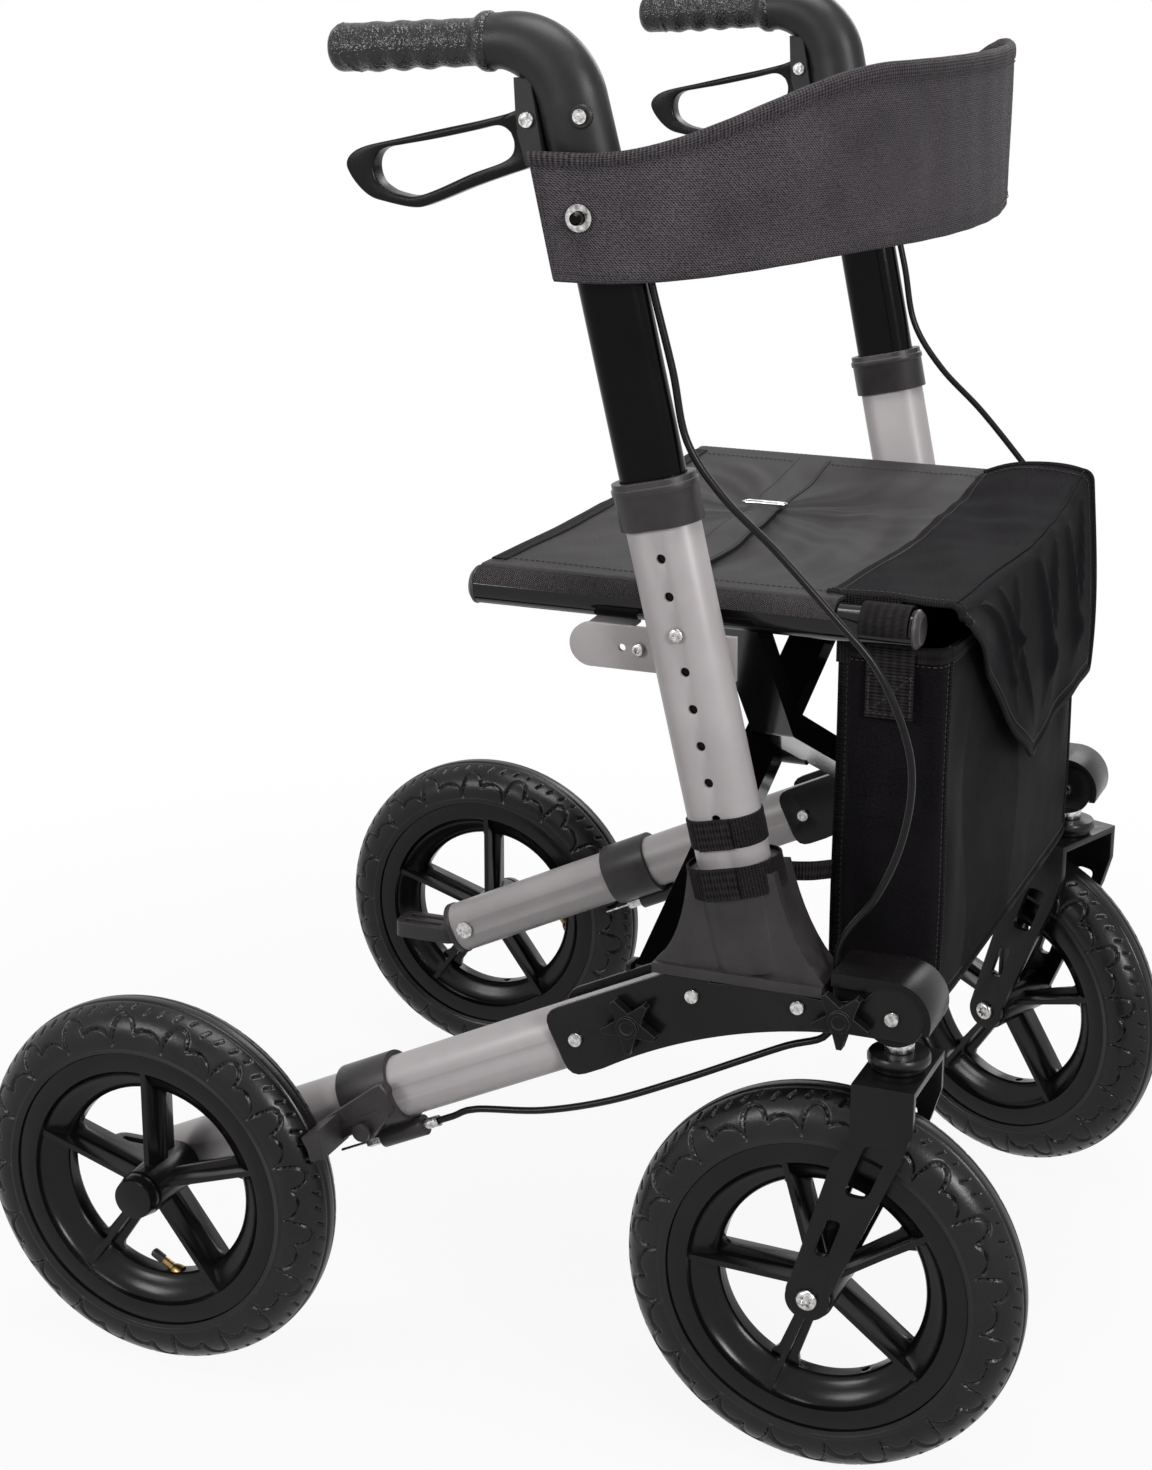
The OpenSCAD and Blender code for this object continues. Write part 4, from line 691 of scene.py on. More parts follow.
# Brake arms: a moulded nylon bar that turns on a pin of the clamp. A rib stiffens it, and at its end a
# shoe stands across the tyre, with a face that follows the tread.
rear_hub, shoe_r = np.array([-hub_x, hub_z]), 141.6
shoe_face = [rear_hub + shoe_r * np.array([cos(t), sin(t)]) for t in np.radians(np.linspace(26.5, 18.6, 7))]
arm_eye = [(-84.345 + 8.5 * cos(t), 201.541 + 8.5 * sin(t)) for t in np.linspace(-2.6, -0.2, 9)]
arm_bar = [(-66, 214), (-66.5, 233), (-71, 238.5), (-76, 236)] + shoe_face + [(-104, 189.5)] + arm_eye
arm_shoe = shoe_face + [(-101, 189), (-104.5, 211)]
arm_rib = [(-72, 216), (-72, 220), (-108, 200.5), (-106, 196.5)]
for side, g in sides:
    arm = "brake_arm_" + side
    for part, outline, low, high, ease, stands_for in (
        ("brake_bar_", arm_bar, 277.0, 287.5, 1.0, [arm]), ("brake_shoe_", arm_shoe, 277.4, 319.0, 1.0, ()),
        ("brake_rib_", arm_rib, 286.8, 288.2, 0.4, ()),
    ):
        add_piece(part + side, upright(outline, g, low, high, ease), nylon, arm, stands_for)

# Brake levers: a moulded nylon loop, thick at its rear end, that swings on the pin of its bracket. The
# fingers go through the loop, and all its edges are well rounded.
lever_outer = spline([
    (6, -6), (3, 3), (-5, 6.4), (-16.6, 2.6), (-34.8, -2.1), (-61.1, -8), (-87.8, -14.2), (-112.1, -19.8),
    (-122.5, -24.5), (-127, -30.5), (-125.6, -36.6), (-119.6, -44.6), (-111.6, -51), (-102.2, -54), (-79.4, -57.2),
    (-64.7, -53.2), (-40.7, -43.4), (-17, -34.8), (-2, -29.5), (5, -24), (7, -15), (6, -6),
], 1.5)[:-1]
lever_inner = spline([
    (-13.5, -8.5), (-18, -5.4), (-24.4, -4.8), (-40.1, -8.6), (-66.5, -14.5), (-87.9, -18.6), (-100, -21.2),
    (-106, -26), (-107.6, -33.8), (-104.8, -42), (-98, -47), (-90, -49.4), (-79.3, -50.2), (-64.5, -45.4),
    (-40.6, -34.8), (-20, -27.2), (-12.5, -21.8), (-11.2, -14.5), (-13.5, -8.5),
], 1.5)[:-1]
lever_middle, lever_half, lever_round = np.array([-58.0, -27.5]), 7.5, 2.4


def around(outline, middle, angles):
    """The outline's points at the given directions from a middle inside it."""
    lie = outline - middle
    turn = np.arctan2(lie[:, 1], lie[:, 0]) % (2 * pi)
    order = np.argsort(turn)
    turn, lie = turn[order], lie[order]
    turn = np.r_[turn[-1] - 2 * pi, turn, turn[0] + 2 * pi]
    lie = np.vstack([lie[-1], lie, lie[0]])
    return middle + np.stack([np.interp(angles, turn, lie[:, 0]), np.interp(angles, turn, lie[:, 1])], -1)


ends = np.sort(np.arctan2(*(lever_inner - lever_middle).T[::-1]) % (2 * pi))
shares = np.linspace(0, 1, 220, endpoint=False)
angles = np.interp(shares, np.linspace(0, 1, len(ends) + 1), np.r_[ends, ends[0] + 2 * pi]) % (2 * pi)
angles.sort()
out_line, in_line = around(lever_outer, lever_middle, angles), around(lever_inner, lever_middle, angles)
for side, g in sides:
    rings = []
    for o, i in zip(out_line, in_line):
        wide = np.linalg.norm(o - i)
        ease = min(lever_round, wide * 0.42)
        way = (i - o) / wide
        edge = lever_half - ease
        ring = []
        for cx, cy, first in ((ease, edge, 90), (ease, -edge, 180), (wide - ease, -edge, 270), (wide - ease, edge, 0)):
            for t in np.radians(np.linspace(first, first + 90, 5)):
                at = pivot + o + way * (cx + ease * cos(t))
                ring.append((at[0], g * (handle_y + cy + ease * sin(t)), at[1]))
        rings.append(ring)
    lever = "brake_lever_" + side
    # The lever takes the darker copy of the nylon: painted shade.
    add_piece("loop_lever_" + side, skin(rings, closed=True), shaded_nylon, lever, [lever])

# Screws: zinc plated pan heads with a star recess on the frame, the axles and the elbows, the height
# screws and rivets, and the spring buttons of the backrest.
head_levels = (
    (0.98, 0.0, 0), (1.0, 0.05, 0), (0.98, 0.22, 0), (0.9, 0.36, 0), (0.72, 0.46, 0), (0.52, 0.5, 0),
    (0.47, 0.5, 0.07), (0.42, 0.44, 0.084), (0.38, 0.2, 0.084), (0.2, 0.16, 0), (0.02, 0.15, 0),
)
head_rings = []
for r, h, lobes in head_levels:
    head_rings.append([((r + lobes * cos(6 * a)) * cos(a), (r + lobes * cos(6 * a)) * sin(a), h) for a in turns(48)])
pan_head = new_object("pan_head", mesh_of("pan_head", skin(head_rings)))


def grown(name, mesh, values, plan, mat, body):
    """A piece grown on a mesh by a node tree; plan gives its points, what is set on them, its direction and size."""
    carrier = new_object(name + "_points", mesh)
    tree = bpy.data.node_groups.new(name, "GeometryNodeTree")
    tree.interface.new_socket("Mesh", in_out="INPUT", socket_type="NodeSocketGeometry")
    tree.interface.new_socket("Mesh", in_out="OUTPUT", socket_type="NodeSocketGeometry")
    modifier = carrier.modifiers.new("grown", "NODES")
    sockets = [
        (tree.interface.new_socket(label, in_out="INPUT", socket_type="NodeSocket" + kind).identifier, value)
        for label, kind, value in [*values, ("Finish", "Material", mat)]
    ]
    get = add_node(tree, "NodeGroupInput").outputs
    points, item, way, scale = plan(tree, get)
    turn = add_node(tree, "FunctionNodeAlignRotationToVector", {"Vector": way}, axis="Z").outputs["Rotation"]
    copies = {"Points": points, "Instance": item, "Rotation": turn, "Scale": scale}
    set_on = add_node(tree, "GeometryNodeInstanceOnPoints", copies).outputs["Instances"]
    real = add_node(tree, "GeometryNodeRealizeInstances", {"Geometry": set_on}).outputs["Geometry"]
    coat = add_node(tree, "GeometryNodeSetMaterial", {"Geometry": real, "Material": get["Finish"]})
    add_node(tree, "NodeGroupOutput", {0: coat.outputs["Geometry"]})
    modifier.node_group = tree
    for identifier, value in sockets:
        modifier[identifier] = value
    made = bpy.data.meshes.new_from_object(carrier.evaluated_get(bpy.context.evaluated_depsgraph_get()))
    bpy.data.objects.remove(carrier)
    return add_mesh(name, made, mat, body)


def scatter(name, points, ways, sizes, body):
    """One pan head set on every point, turned and sized by the points' own values."""
    cloud = bpy.data.meshes.new(name + "_points")
    cloud.from_pydata((np.asarray(points, float) * 0.001).tolist(), [], [])
    cloud.attributes.new("turn", "FLOAT_VECTOR", "POINT").data.foreach_set("vector", np.asarray(ways, float).ravel())
    cloud.attributes.new("size", "FLOAT", "POINT").data.foreach_set("value", np.asarray(sizes, float).ravel())

    def plan(tree, get):
        head = add_node(tree, "GeometryNodeObjectInfo", {"Object": get["Head"]})
        way = add_node(tree, "GeometryNodeInputNamedAttribute", {"Name": "turn"}, data_type="FLOAT_VECTOR")
        size = add_node(tree, "GeometryNodeInputNamedAttribute", {"Name": "size"}, data_type="FLOAT")
        return get["Mesh"], head.outputs["Geometry"], way.outputs["Attribute"], size.outputs["Attribute"]

    return grown(name, cloud, [("Head", "Object", pan_head)], plan, zinc, body)


plate_screws = ((70.9, 291.8), (154, 337), (227, 341), (castor_x, 343))
for side, g in sides:
    for node in ("frame_hardware_", "handle_screws_"):
        paint(node + side, zinc)
    paint("backrest_pin_" + side, enamel)
    out = np.array([0, g, 0.0])
    tilt = on_post(0, 0, 1, g) - on_post(0, 0, 0, g)
    points = [(x, g * y, z) for y in (274.4, 231.6) for x, z in plate_screws]
    points += [on_post(245, 0, 17.0, g), (102.2, g * 245.4, 561.5)]
    ways = [out] * 4 + [-out] * 4 + [tilt, out]
    scatter("frame_screws_" + side, points, ways, [4.9] * 9 + [4.4], "frame_" + side)
    points = [(pivot[0], g * (handle_y + y), pivot[1]) for y in (12.2, -12.2)]
    points.append((elbow_screw[0], g * (handle_y + 17.6), elbow_screw[1]))
    scatter("handle_heads_" + side, points, [out, -out, out], [5.0, 5.0, 4.6], "handle_" + side)
    points = [tuple(swings[side] @ Vector((-trail, y, hub_z))) for y in (-38.2, 38.2)]
    axis = np.array(swings[side].to_3x3() @ Vector((0, 1, 0)))
    scatter("axle_heads_" + side, points, [-axis, axis], [7.6, 7.6], "castor_" + side)
bpy.data.objects.remove(pan_head)
paint("brace_bolt", black_coat)

# Seat: one piece of nylon cloth sewn round both rails, with a woven tape along each rail, a hem at its
# rear edge and a lifting strap with a ring across its middle. It hangs in a shallow dip.
nylon_cloth = cloth_of(
    "nylon_cloth", (0.017, 0.0154, 0.016), (0.028, 0.0253, 0.0263), (0.38, 0.5), 0.0014, 0.35, 0.02, 1.0, 0.15, 0.055
)
rail_twill = cloth_of(
    "rail_twill", (0.03, 0.027, 0.0283), (0.055, 0.0498, 0.0517), (0.45, 0.6), 0.0023, 0.9, 0.02, 1.0, 0.95
)
thread = finish_of("black_thread", (0.012, 0.0115, 0.012), (0.022, 0.021, 0.022), (0.5, 0.7), 900, 0.2)
rail_y, rail_z = 217, 587
seat_rear, seat_front, ring_x, ring_y = -21, 229, 88, 50


def sheet_of(grid, thick):
    """A closed thin solid from a grid of points: the grid, and a second one set back along its normal."""
    rows, cols = grid.shape[:2]
    normal = np.cross(np.gradient(grid, axis=0), np.gradient(grid, axis=1))
    normal /= np.linalg.norm(normal, axis=2)[..., None]
    verts = np.concatenate([grid.reshape(-1, 3), (grid - thick * normal).reshape(-1, 3)])
    at = np.arange(rows * cols).reshape(rows, cols)
    quads = np.stack([at[:-1, :-1], at[1:, :-1], at[1:, 1:], at[:-1, 1:]], -1).reshape(-1, 4)
    rim = np.concatenate([at[0, :], at[1:, -1], at[-1, -2::-1], at[-2:0:-1, 0]])
    after = np.roll(rim, -1)
    shift = rows * cols
    walls = np.stack([rim, after, after + shift, rim + shift], -1)
    return verts, np.concatenate([quads, quads[:, ::-1] + shift, walls]).tolist()


def lengths(grid, axis):
    """How far each point of a grid is along one of its ways, in mm."""
    run = np.linalg.norm(np.diff(grid, axis=axis), axis=2)
    zero = np.zeros_like(run.take([0], axis))
    return np.concatenate([zero, np.cumsum(run, axis)], axis)


def longest(grid, axis):
    """The longest run of a grid along one of its ways, in metres."""
    return float(lengths(grid, axis).max() * 0.001)


def sheet_uv(grid):
    """UV in millimetres for both faces of a sheet."""
    return np.tile(np.stack([lengths(grid, 0), lengths(grid, 1)], -1).reshape(-1, 2), (2, 1))


def stitched(name, lines, body=None):
    """Rows of stitches along lines, each stitch a short thread, set by a node tree."""
    verts, edges = [], []
    for line in lines:
        first = len(verts)
        verts += (np.asarray(line, float) * 0.001).tolist()
        edges += [(k, k + 1) for k in range(first, len(verts) - 1)]
    rows = bpy.data.meshes.new(name + "_points")
    rows.from_pydata(verts, edges, [])

    def plan(tree, get):
        curve = add_node(tree, "GeometryNodeMeshToCurve", {0: get["Mesh"]}).outputs[0]
        spaced = add_node(tree, "GeometryNodeResampleCurve", mode="LENGTH")
        join(tree, spaced, {"Curve": curve, "Length": get["Pitch"]})
        spots = add_node(tree, "GeometryNodeCurveToPoints", {"Curve": spaced.outputs[0]}, mode="EVALUATED").outputs
        ball = add_node(tree, "GeometryNodeMeshUVSphere", {"Segments": 6, "Rings": 5, "Radius": 1.0})
        scale = add_node(tree, "ShaderNodeCombineXYZ", {"X": get["Thick"], "Y": get["Thick"], "Z": get["Long"]})
        return spots["Points"], ball.outputs["Mesh"], spots["Tangent"], scale.outputs[0]

    sizes = [("Pitch", "Float", 0.004), ("Long", "Float", 0.00145), ("Thick", "Float", 0.00042)]
    return grown(name, rows, sizes, plan, thread, body)


def spread_between_rails(piece):
    """Bakes the placing of a cloth piece into its points."""
    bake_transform(piece)
    return piece


def seat_top(x, y):
    """Height of the cloth between the rails: a dip, with soft creases that run out from the strap."""
    inside = np.clip((205 - np.abs(y)) / 50, 0, 1)
    away = np.hypot(x - ring_x, y - ring_y) / 100
    turn = np.arctan2(y - ring_y, x - ring_x)
    near = np.clip(away, 0, 1)
    rays = 3.0 * np.sin(7 * turn + 0.9 * away) * near * np.exp(-0.5 * away)
    fine = 1.3 * np.sin(23 * turn + 2 * np.sin(3 * away)) * near * np.exp(-0.4 * away)
    rays += fine * (0.6 + 0.4 * np.sin(4 * turn))
    pulls = 1.9 * np.sin(x / 6.5 + 0.9 * np.sin(y / 43)) * np.exp(-(((x - 180) / 55) ** 2)) * np.sin((y + 200) / 95)
    waves = 1.1 * np.sin(x / 17 + y / 47) * np.sin(y / 29 - x / 71)
    slack = np.clip((x - seat_rear) / 90, 0, 1)
    dip = (3 + 7 * slack) * (1 - (y / rail_y) ** 2)
    return 602.4 - dip + inside * (rays + pulls + waves) * np.clip(3 * slack, 0, 1)


def on_seat(x, y, lift):
    """A point a little above the seat cloth."""
    return (x, y, seat_top(x, y) + lift)


def round_rail(x, r, t, g):
    """A point at a radius and an angle round the rail of one side."""
    return (x, g * (rail_y + r * cos(t)), rail_z + r * sin(t))


wrap = np.radians(np.linspace(18, 90, 12))
rows = []
for x in np.linspace(seat_rear, seat_front, 150):
    middle = [on_seat(x, y, 0) for y in np.linspace(-rail_y, rail_y, 130)[1:-1]]
    near_rail, far_rail = ([round_rail(x, 15.4, t, g) for t in wrap] for side, g in sides)
    rows.append(near_rail + middle + far_rail[::-1])
seat_grid = np.array(rows)
seat = add_piece(
    "seat_cloth", sheet_of(seat_grid, 2.3), nylon_cloth, None, ["seat_sling"], 60.0, sheet_uv(seat_grid)
)
spread_between_rails(seat)
longest(seat_grid, 0)
longest(seat_grid, 1)
tape_arc = np.radians(np.linspace(16, 64, 14))
tape_uv = [(16 * (j if j < 14 else 27 - j) * 0.11, i * 6.4) for i in range(40) for j in range(28)]
seam_x = np.linspace(-18, 226, 60)
for side, g in sides:
    rings = []
    for x in np.linspace(seat_rear - 0.4, seat_front + 0.4, 40):
        outer = [round_rail(x, 16.1, t, g) for t in tape_arc]
        rings.append(outer + [round_rail(x, 15.2, t, g) for t in tape_arc[::-1]])
    add_piece("rail_tape_" + side, skin(rings), rail_twill, "brace_" + side, uv=tape_uv)
    seams = [[round_rail(x, 15.5, t, g) for x in seam_x] for t in np.radians([70, 21])]
    stitched("rail_seam_" + side, seams, "brace_" + side)
seat_lines = [[on_seat(x, y, 0.25) for y in np.linspace(-205, 205, 90)] for x in (-12.0, 221.0)]
seat_lines += [[on_seat(x, y, 0.25) for x in seam_x] for y in (-196.0, 196.0)]
spread_between_rails(stitched("seat_seams", seat_lines))
hem_path = [on_seat(-15.5, y, 0.35) for y in np.linspace(-203, 203, 80)]
hem_section = [(-5.5, -0.4), (5.5, -0.4), (5.2, 0.5), (-5.2, 0.5)]
spread_between_rails(strip("seat_hem", hem_path, hem_section, (0, 0, 1), 5.1, 11, None))
strap_half, strap_thick = 14.0, 1.3
for name, first, last, lift, rise in (("lift_strap", 52, 205, 0.9, 0), ("pull_strap", -158, 62, 1.6, 0.09)):
    spine = [(ring_x - 0.06 * (y - 60), y) for y in np.linspace(first, last, 60)]
    rings = []
    for x, y in spine:
        across = np.linspace(-strap_half, strap_half, 13)
        tops = [on_seat(x + a, y, lift + rise * (a + strap_half)) for a in across]
        rings.append(tops + [(px, py, pz - strap_thick) for px, py, pz in tops[::-1]])
    strap_uv = [(y, (j if j < 13 else 25 - j) * 2.2) for _, y in spine for j in range(26)]
    spread_between_rails(add_piece(name, skin(rings), nylon_cloth, None, uv=strap_uv))
    edges = [[on_seat(x + a, y, lift + rise * (a + strap_half) + 0.2) for x, y in spine] for a in (-12, 12)]
    spread_between_rails(stitched(name + "_seams", edges))
bright_wire = finish_of(
    "nickel_wire", (0.62, 0.61, 0.6), (0.74, 0.73, 0.72), (0.12, 0.2), 300, 0.05, metal=1.0
)
ring_z = float(seat_top(ring_x, 56)) + 4.2
ring_outline = [
    (72, 58, 0), (74, 61, 0), (88, 61.5, 0), (102, 61, 0), (104, 58, 0), (104, 53, 0.6), (102, 50, 1), (88, 49.5, 1.2),
    (74, 50, 1), (72, 53, 0.6), (72, 58, 0),
]
ring_path = spline([(x, y, ring_z + z) for x, y, z in ring_outline], 2)[:-1]
strap_ring = sweep(ring_path, circle(0.85, 10), closed=True)
spread_between_rails(add_piece("strap_ring", strap_ring, bright_wire, None))

# Flap: the front of the seat cloth runs on over the bag and falls in front of it, cut to a slant on the
# near side, with a bound edge; it humps up a little over the bag's far corner.
flap_edge = np.array([
    (-201, 594), (-161, 568), (-95, 517), (-41, 471), (5, 441), (30, 441), (80, 449), (134, 454), (201, 454),
], float)
flap_creases = (
    (-150, -20, 5.4, 6.5), (-96, 22, 4.2, 5.5), (-40, -62, 3.4, 5.5), (20, 66, 5.4, 7), (70, 30, 4.2, 6),
    (112, 150, 4.8, 6.5), (168, 120, 4.0, 6),
)
flap_seam_x, bend = 216, 8


def flap_point(s, y):
    """A point of the flap: s from 0 at the seam to 1 at the front edge, 2 below the bend, 3 at the hem."""
    top = seat_top(225.0, y) + 0.9
    hump = 13 * np.clip((y - 50) / 140, 0, 1) ** 2 - 1.5 * np.clip((-y - 170) / 30, 0, 1)
    low = np.interp(y, flap_edge[:, 0], flap_edge[:, 1])
    front = 304.5 + 1.2 * sin(y / 37)
    if s <= 1:
        ripple = 1.3 * sin(y / 27 + 5 * s) + 1.1 * sin(y / 12 - 7 * s) * sin(y / 61)
        z = top + hump * sin(pi * min(s * 0.75, 1)) + ripple * sin(pi * s)
        return (flap_seam_x + (front - bend - flap_seam_x) * s, y, z)
    edge = top + hump * sin(pi * 0.75) - bend
    if s <= 2:
        t = (s - 1) * pi / 2
        return (front - bend + bend * sin(t), y, edge + bend * cos(t))
    t = s - 2
    wave = 2.2 * sin(y / 27 + 1.0 + 1.2 * t) + 0.7 * sin(y / 11 + 3 * t)
    wave = wave * t * sin(pi * min(t, 0.9) / 0.9 * 0.5 + 0.01)
    for y_top, y_low, deep, wide in flap_creases:
        off = (y - y_top - (y_low - y_top) * t) / wide
        wave += deep * exp(-off * off) * sin(pi * min(1.0, 0.12 + t))
    return (front + 5.5 * sin(pi * t * 0.7) + wave, y * (1 + 0.03 * t), edge - max(edge - low, 1.0) * t)


levels = np.r_[np.linspace(0, 1, 26), np.linspace(1, 2, 9)[1:], np.linspace(2, 3, 44)[1:]]
bend_row = 26
flap_grid = np.array([[flap_point(s, y) for y in np.linspace(-200.5, 200.5, 96)] for s in levels])
oxford = cloth_of(
    "oxford_cloth", (0.0044, 0.0038, 0.0045), (0.009, 0.0078, 0.0092), (0.5, 0.64), 0.0019, 0.6, 0.0, 1.0, 0.7, 0.02
)
flap = add_piece(
    "flap_cloth", sheet_of(flap_grid, 1.6), oxford, "bag", (), 60.0, sheet_uv(flap_grid)
)
longest(flap_grid, 1)
longest(flap_grid, 0)
bind_path = np.concatenate([flap_grid[:, 0], flap_grid[-1, 1:], flap_grid[-2::-1, -1]])
bind_path = spline(bind_path[::2], 4)
flap_middle = np.array([280.0, 0.0, 560.0])
binding = strip("flap_binding", bind_path, circle(2.1, 10), flap_middle - bind_path, 4, 13, "bag")
ridge_path = flap_grid[bend_row] + (0.2, 0, 0.6)
ridge = strip("flap_ridge", ridge_path, circle(1.1, 8), (0, 0, 1), 4.2, 7, "bag", oxford)
flap_rows = [
    flap_grid[:-2, 3] + (0, 0, 0.3), flap_grid[-4, 3:-3] + (0.3, 0, 0), flap_grid[:-2, -4] + (0, 0, 0.3),
    flap_grid[bend_row, 2:-2] + (0.1, 0, 0.35), flap_grid[2, 2:-2] + (0, 0, 0.35),
]
flap_seams = stitched("flap_seams", flap_rows, "bag")

# Bag: a soft shopper of oxford cloth under the flap, hung by webbing loops on the front of the rails.
# Its front corners are piped, its rear corners and top are taped, and its sides sag into slack folds.
bag_x, bag_low, bag_high, ring_size = 263.5, 322.0, 571.5, 160


def bag_ring(t, inset):
    """One level of the bag: a rounded box that swells at the front and falls into folds at its sides."""
    fall = sin(pi * t)
    lower = np.clip((0.62 - t) / 0.4, 0, 1)
    ring = []
    for a in turns(ring_size):
        c, q = cos(a), sin(a)
        px = copysign(abs(c) ** 0.24, c)
        py = copysign(abs(q) ** 0.13, q)
        x = bag_x + px * (36.0 - inset)
        y = py * (206 - inset)
        flat_side = np.clip((abs(py) - 0.96) / 0.04, 0, 1) * (1 - abs(px) ** 4)
        slack = 4.2 * sin(x / 12 + 4.2 * t) + 3.0 * sin(8.5 * t + x / 22) + 1.2 * sin(x / 5 - 9 * t) + 3.0
        y -= copysign(max(slack * fall, -1.0), q) * flat_side
        flat_front = np.clip((abs(px) - 0.9) / 0.1, 0, 1) * (1 - abs(py) ** 6)
        sag = 3.5 * lower - 2.5 * (1 - lower) + 2.6 * sin(y / 31 + 5 * t) + 1.5 * sin(y / 13 - 9 * t)
        x += copysign(1, c) * sag * fall * flat_front * (1.0 if c > 0 else 0.4)
        z = bag_low + (bag_high - bag_low) * t - 2.0 * (1 - t) ** 6 * (1 - abs(py) ** 4)
        ring.append((x, y, z))
    return ring


def drawn_in(ring, share, lift=0.0):
    """A level of the bag drawn in towards its middle."""
    return [(bag_x + (x - bag_x) * share, y * share, z + lift * share - lift) for x, y, z in ring]


levels = np.linspace(0, 1, 64)
outer = [bag_ring(t, 0) for t in levels]
inner = [bag_ring(max(t, 0.012), 1.8) for t in levels[::-1]]
base = [drawn_in(outer[0], share, 1.2) for share in (0.05, 0.5, 0.9, 0.985)]
rim = [[(x, y, z + 0.6) for x, y, z in bag_ring(1.0, 0.9)]]
floor_rings = [drawn_in(inner[-1], share) for share in (0.98, 0.9, 0.5, 0.05)]
rings = np.array(base + outer + rim + inner + floor_rings)
around_mm = np.r_[0, np.cumsum(np.linalg.norm(np.diff(np.array(outer[30]), axis=0), axis=1))]
down_mm = np.r_[0, np.cumsum(np.linalg.norm(np.diff(rings[:, 20], axis=0), axis=1))]
bag_uv = [(along, down) for down in down_mm for along in around_mm]
bag_body = add_piece("bag_cloth", skin(rings), oxford, "bag", ["bag"], 70.0, bag_uv)
bag_pieces = [bag_body, flap, binding, ridge, flap_seams]


def bag_strip(name, path, section, up, step, wide, closed=False):
    """A strip sewn to the bag."""
    bag_pieces.append(strip(name, path, section, up, step, wide, "bag", webbing, closed))


def from_middle(line):
    """Level directions from the middle of the bag to the points of a line."""
    return line * (1, 1, 0) - (bag_x, 0, 0)


def ring_line(index, lift):
    """A line down the bag at one place of its rings, lifted off the cloth."""
    line = np.array([ring[index] for ring in outer])
    away = from_middle(line)
    return line + lift * away / np.linalg.norm(away, axis=1)[:, None]


piping, corner_tape = circle(1.7, 8), flat_section(7, -0.6, 0.8)
for number, (index, section) in enumerate(((15, piping), (65, corner_tape), (95, corner_tape), (145, piping))):
    line = ring_line(index, 0.3)
    bag_strip("bag_corner_%d" % number, line, section, from_middle(line), 3.9, 14)
hem_line = np.array(bag_ring(0.978, -0.6))
hem_out = hem_line - (bag_x, 0, hem_line[0, 2])
bag_strip("bag_hem", hem_line, flat_section(4.5, -0.6, 0.6), hem_out, 6, 9, True)
bag_strip("bag_base", np.array(bag_ring(0.004, -0.2)), piping, (0, 0, 1), 6, 11, True)
lines = [ring_line(index, 0.35) for index in (18, 142, 61, 99)] + [bag_ring(t, -0.3) for t in (0.952, 0.03)]
bag_pieces.append(stitched("bag_seams", lines, "bag"))
loop_x, loop_y = 262, 206.4
hook_x, hook_z = np.arange(224, 267, 7), np.array((556, 566, 576, 586, 595, 602))
hook_uv = [(x - hook_x[0], z - hook_z[0]) for z in hook_z for x in (*hook_x, *hook_x[::-1])]
seam_box = np.array([(248, 526), (276, 526), (276, 552), (248, 552), (248, 526), (276, 552)])
seam_ways = np.linspace(0, len(seam_box) - 1, 90)
seam_xz = [np.interp(seam_ways, range(len(seam_box)), seam_box[:, k]) for k in (0, 1)]
for side, g in sides:
    arc = [round_rail(loop_x, 14.4, t, g) for t in np.radians(np.linspace(220, -40, 40))]
    tail = [(loop_x, g * (loop_y + 1.5), z) for z in (523, 530, 545, 560, 570)]
    line = spline(tail + [(loop_x, g * (loop_y + 0.5), 577)] + arc[2:-4], 2.5)
    away = np.gradient(line, axis=0)
    up = np.stack([0 * away[:, 0], away[:, 2], -away[:, 1]], -1) * -g
    bag_strip("bag_loop_" + side, line, flat_section(16, -0.7, 0.7), up, 2.5, 32)
    hook_rings = [[(x, g * 203.0, z) for x in hook_x] + [(x, g * 201.6, z) for x in hook_x[::-1]] for z in hook_z]
    bag_pieces.append(add_piece("hook_tape_" + side, skin(hook_rings), webbing, "bag", uv=hook_uv))
    row = [(x, g * (loop_y + 2.3), z) for x, z in zip(*seam_xz)]
    bag_pieces.append(stitched("loop_seam_" + side, [row], "bag"))
for piece in bag_pieces:
    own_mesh(piece)

# Backrest: a padded band of oxford cloth that bows out before the uprights and is held by a sprung
# button at each end, with a wide hem along its top and a narrow one below.
backrest_cloth = cloth_of(
    "backrest_cloth", (0.052, 0.0465, 0.051), (0.082, 0.0732, 0.0806), (0.5, 0.66), 0.0021, 0.8, 0.02, 1.0, 0.8
)
grosgrain = cloth_of(
    "grosgrain_tape", (0.036, 0.032, 0.035), (0.054, 0.048, 0.0527), (0.5, 0.66), 0.0024, 0.9, 0.02, 0.0, 0.75
)
band_x, band_bow, band_half, band_low, band_end = 81.05, 176, 294.4, 818.2, 0.08


def band_at(s):
    """Place, outward direction and lower and upper edge of the band; s from -1 to 1, ends beyond it."""
    a = radians(90 * max(-1.0, min(1.0, s)))
    rise = max(0.0, abs(sin(a)) - 0.5) ** 2 * 4
    out = np.array([cos(a) / band_bow, sin(a) / band_half])
    place = np.array([band_x + band_bow * cos(a), band_half * sin(a)])
    return place, out / np.linalg.norm(out), band_low - 13 * rise, band_low + 115 * (1 - rise) + 65 * rise


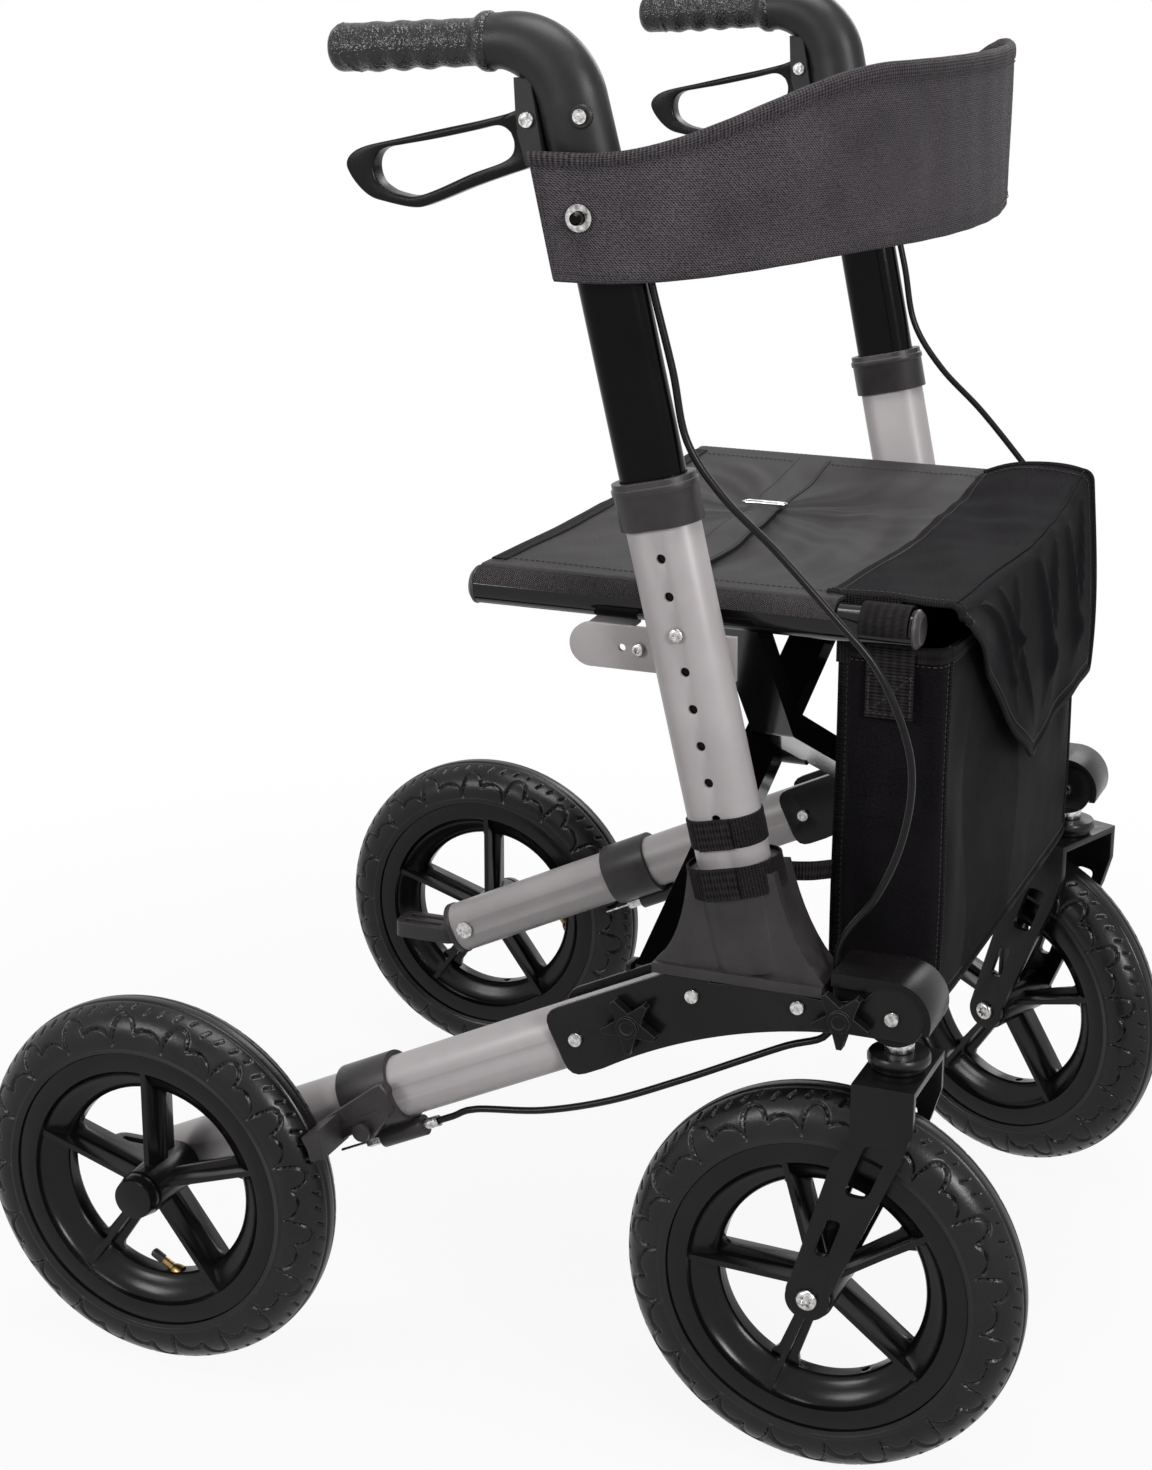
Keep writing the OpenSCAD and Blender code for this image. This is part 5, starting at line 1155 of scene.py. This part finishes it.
def band_point(s, up, off):
    """A point of the band: up from 0 at its lower edge to 1 at its upper one, off outward of its middle."""
    place, out, low, high = band_at(s)
    z = low + (high - low) * up
    back = max(0.0, abs(s) - 1) / band_end * (27 + (z - 846.2) * tan(lean))
    ripple = 0.5 * sin(s * 31) * sin(pi * up) + 0.35 * sin(s * 67 + 3 * up)
    at = place + out * (off + ripple * (1 - min(1, max(0, abs(s) - 0.8) * 8)))
    return (at[0] - back, at[1], z)


tip = 1 + band_end
ways = np.r_[np.linspace(-tip, -1, 10)[:-1], np.linspace(-1, 1, 150), np.linspace(1, tip, 10)[1:]]
profile = []
for up in np.r_[0, 0.012, 0.03, np.linspace(0.06, 0.9, 26), 0.915, 0.93, 0.96, 0.985, 1.0]:
    swell = 3.3 - 0.6 * (2 * up - 1) ** 8
    swell += 0.55 if up > 0.9 else (0.3 if up < 0.05 else 0)
    profile.append((up, min(swell, 1.2 + 90 * min(up, 1 - up))))
rings = []
for s in ways:
    thin = 1.0 if abs(s) < 1.07 else 0.75
    front = [band_point(s, up, off * thin) for up, off in profile]
    rings.append(front + [band_point(s, up, -off * thin) for up, off in profile[::-1]])
run = np.r_[0, np.cumsum(np.linalg.norm(np.diff(np.array(rings)[:, 10], axis=0), axis=1))]
band_uv = [(along, z) for along, ring in zip(run, rings) for _, _, z in ring]
band = add_piece(
    "backrest_band", skin(rings), backrest_cloth, "handle_right", ["backrest"], 60.0, band_uv
)
tape_half = [(0.905, 4.0), (0.93, 4.35), (0.96, 4.3), (0.985, 3.8), (1.003, 2.2)]
tape_section = tape_half + [(1.006, 0.0)] + [(up, -off) for up, off in tape_half[::-1]]
tape_rings = []
for s in ways:
    front = [band_point(s, up, off) for up, off in tape_section]
    tape_rings.append(front + [band_point(s, up, off * 0.6) for up, off in tape_section[::-1]])
tape_uv = [(along, (j if j < 11 else 21 - j) * 2.4) for along in run for j in range(22)]
band_tape = add_piece("backrest_tape", skin(tape_rings), grosgrain, "handle_right", uv=tape_uv)
seam_run = np.linspace(-1.07, 1.07, 200)
band_lines = [[band_point(s, up, 3.75) for s in seam_run] for up in (0.885, 0.075)]
band_lines += [[band_point(s, up, 3.5) for up in np.linspace(0.08, 0.88, 20)] for s in (-1.072, 1.072)]
band_lines += [[band_point(s, up, -3.75) for s in seam_run] for up in (0.885, 0.075)]
band_seams = stitched("backrest_seams", band_lines, "handle_right")
for piece in (band, band_tape, band_seams):
    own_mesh(piece)
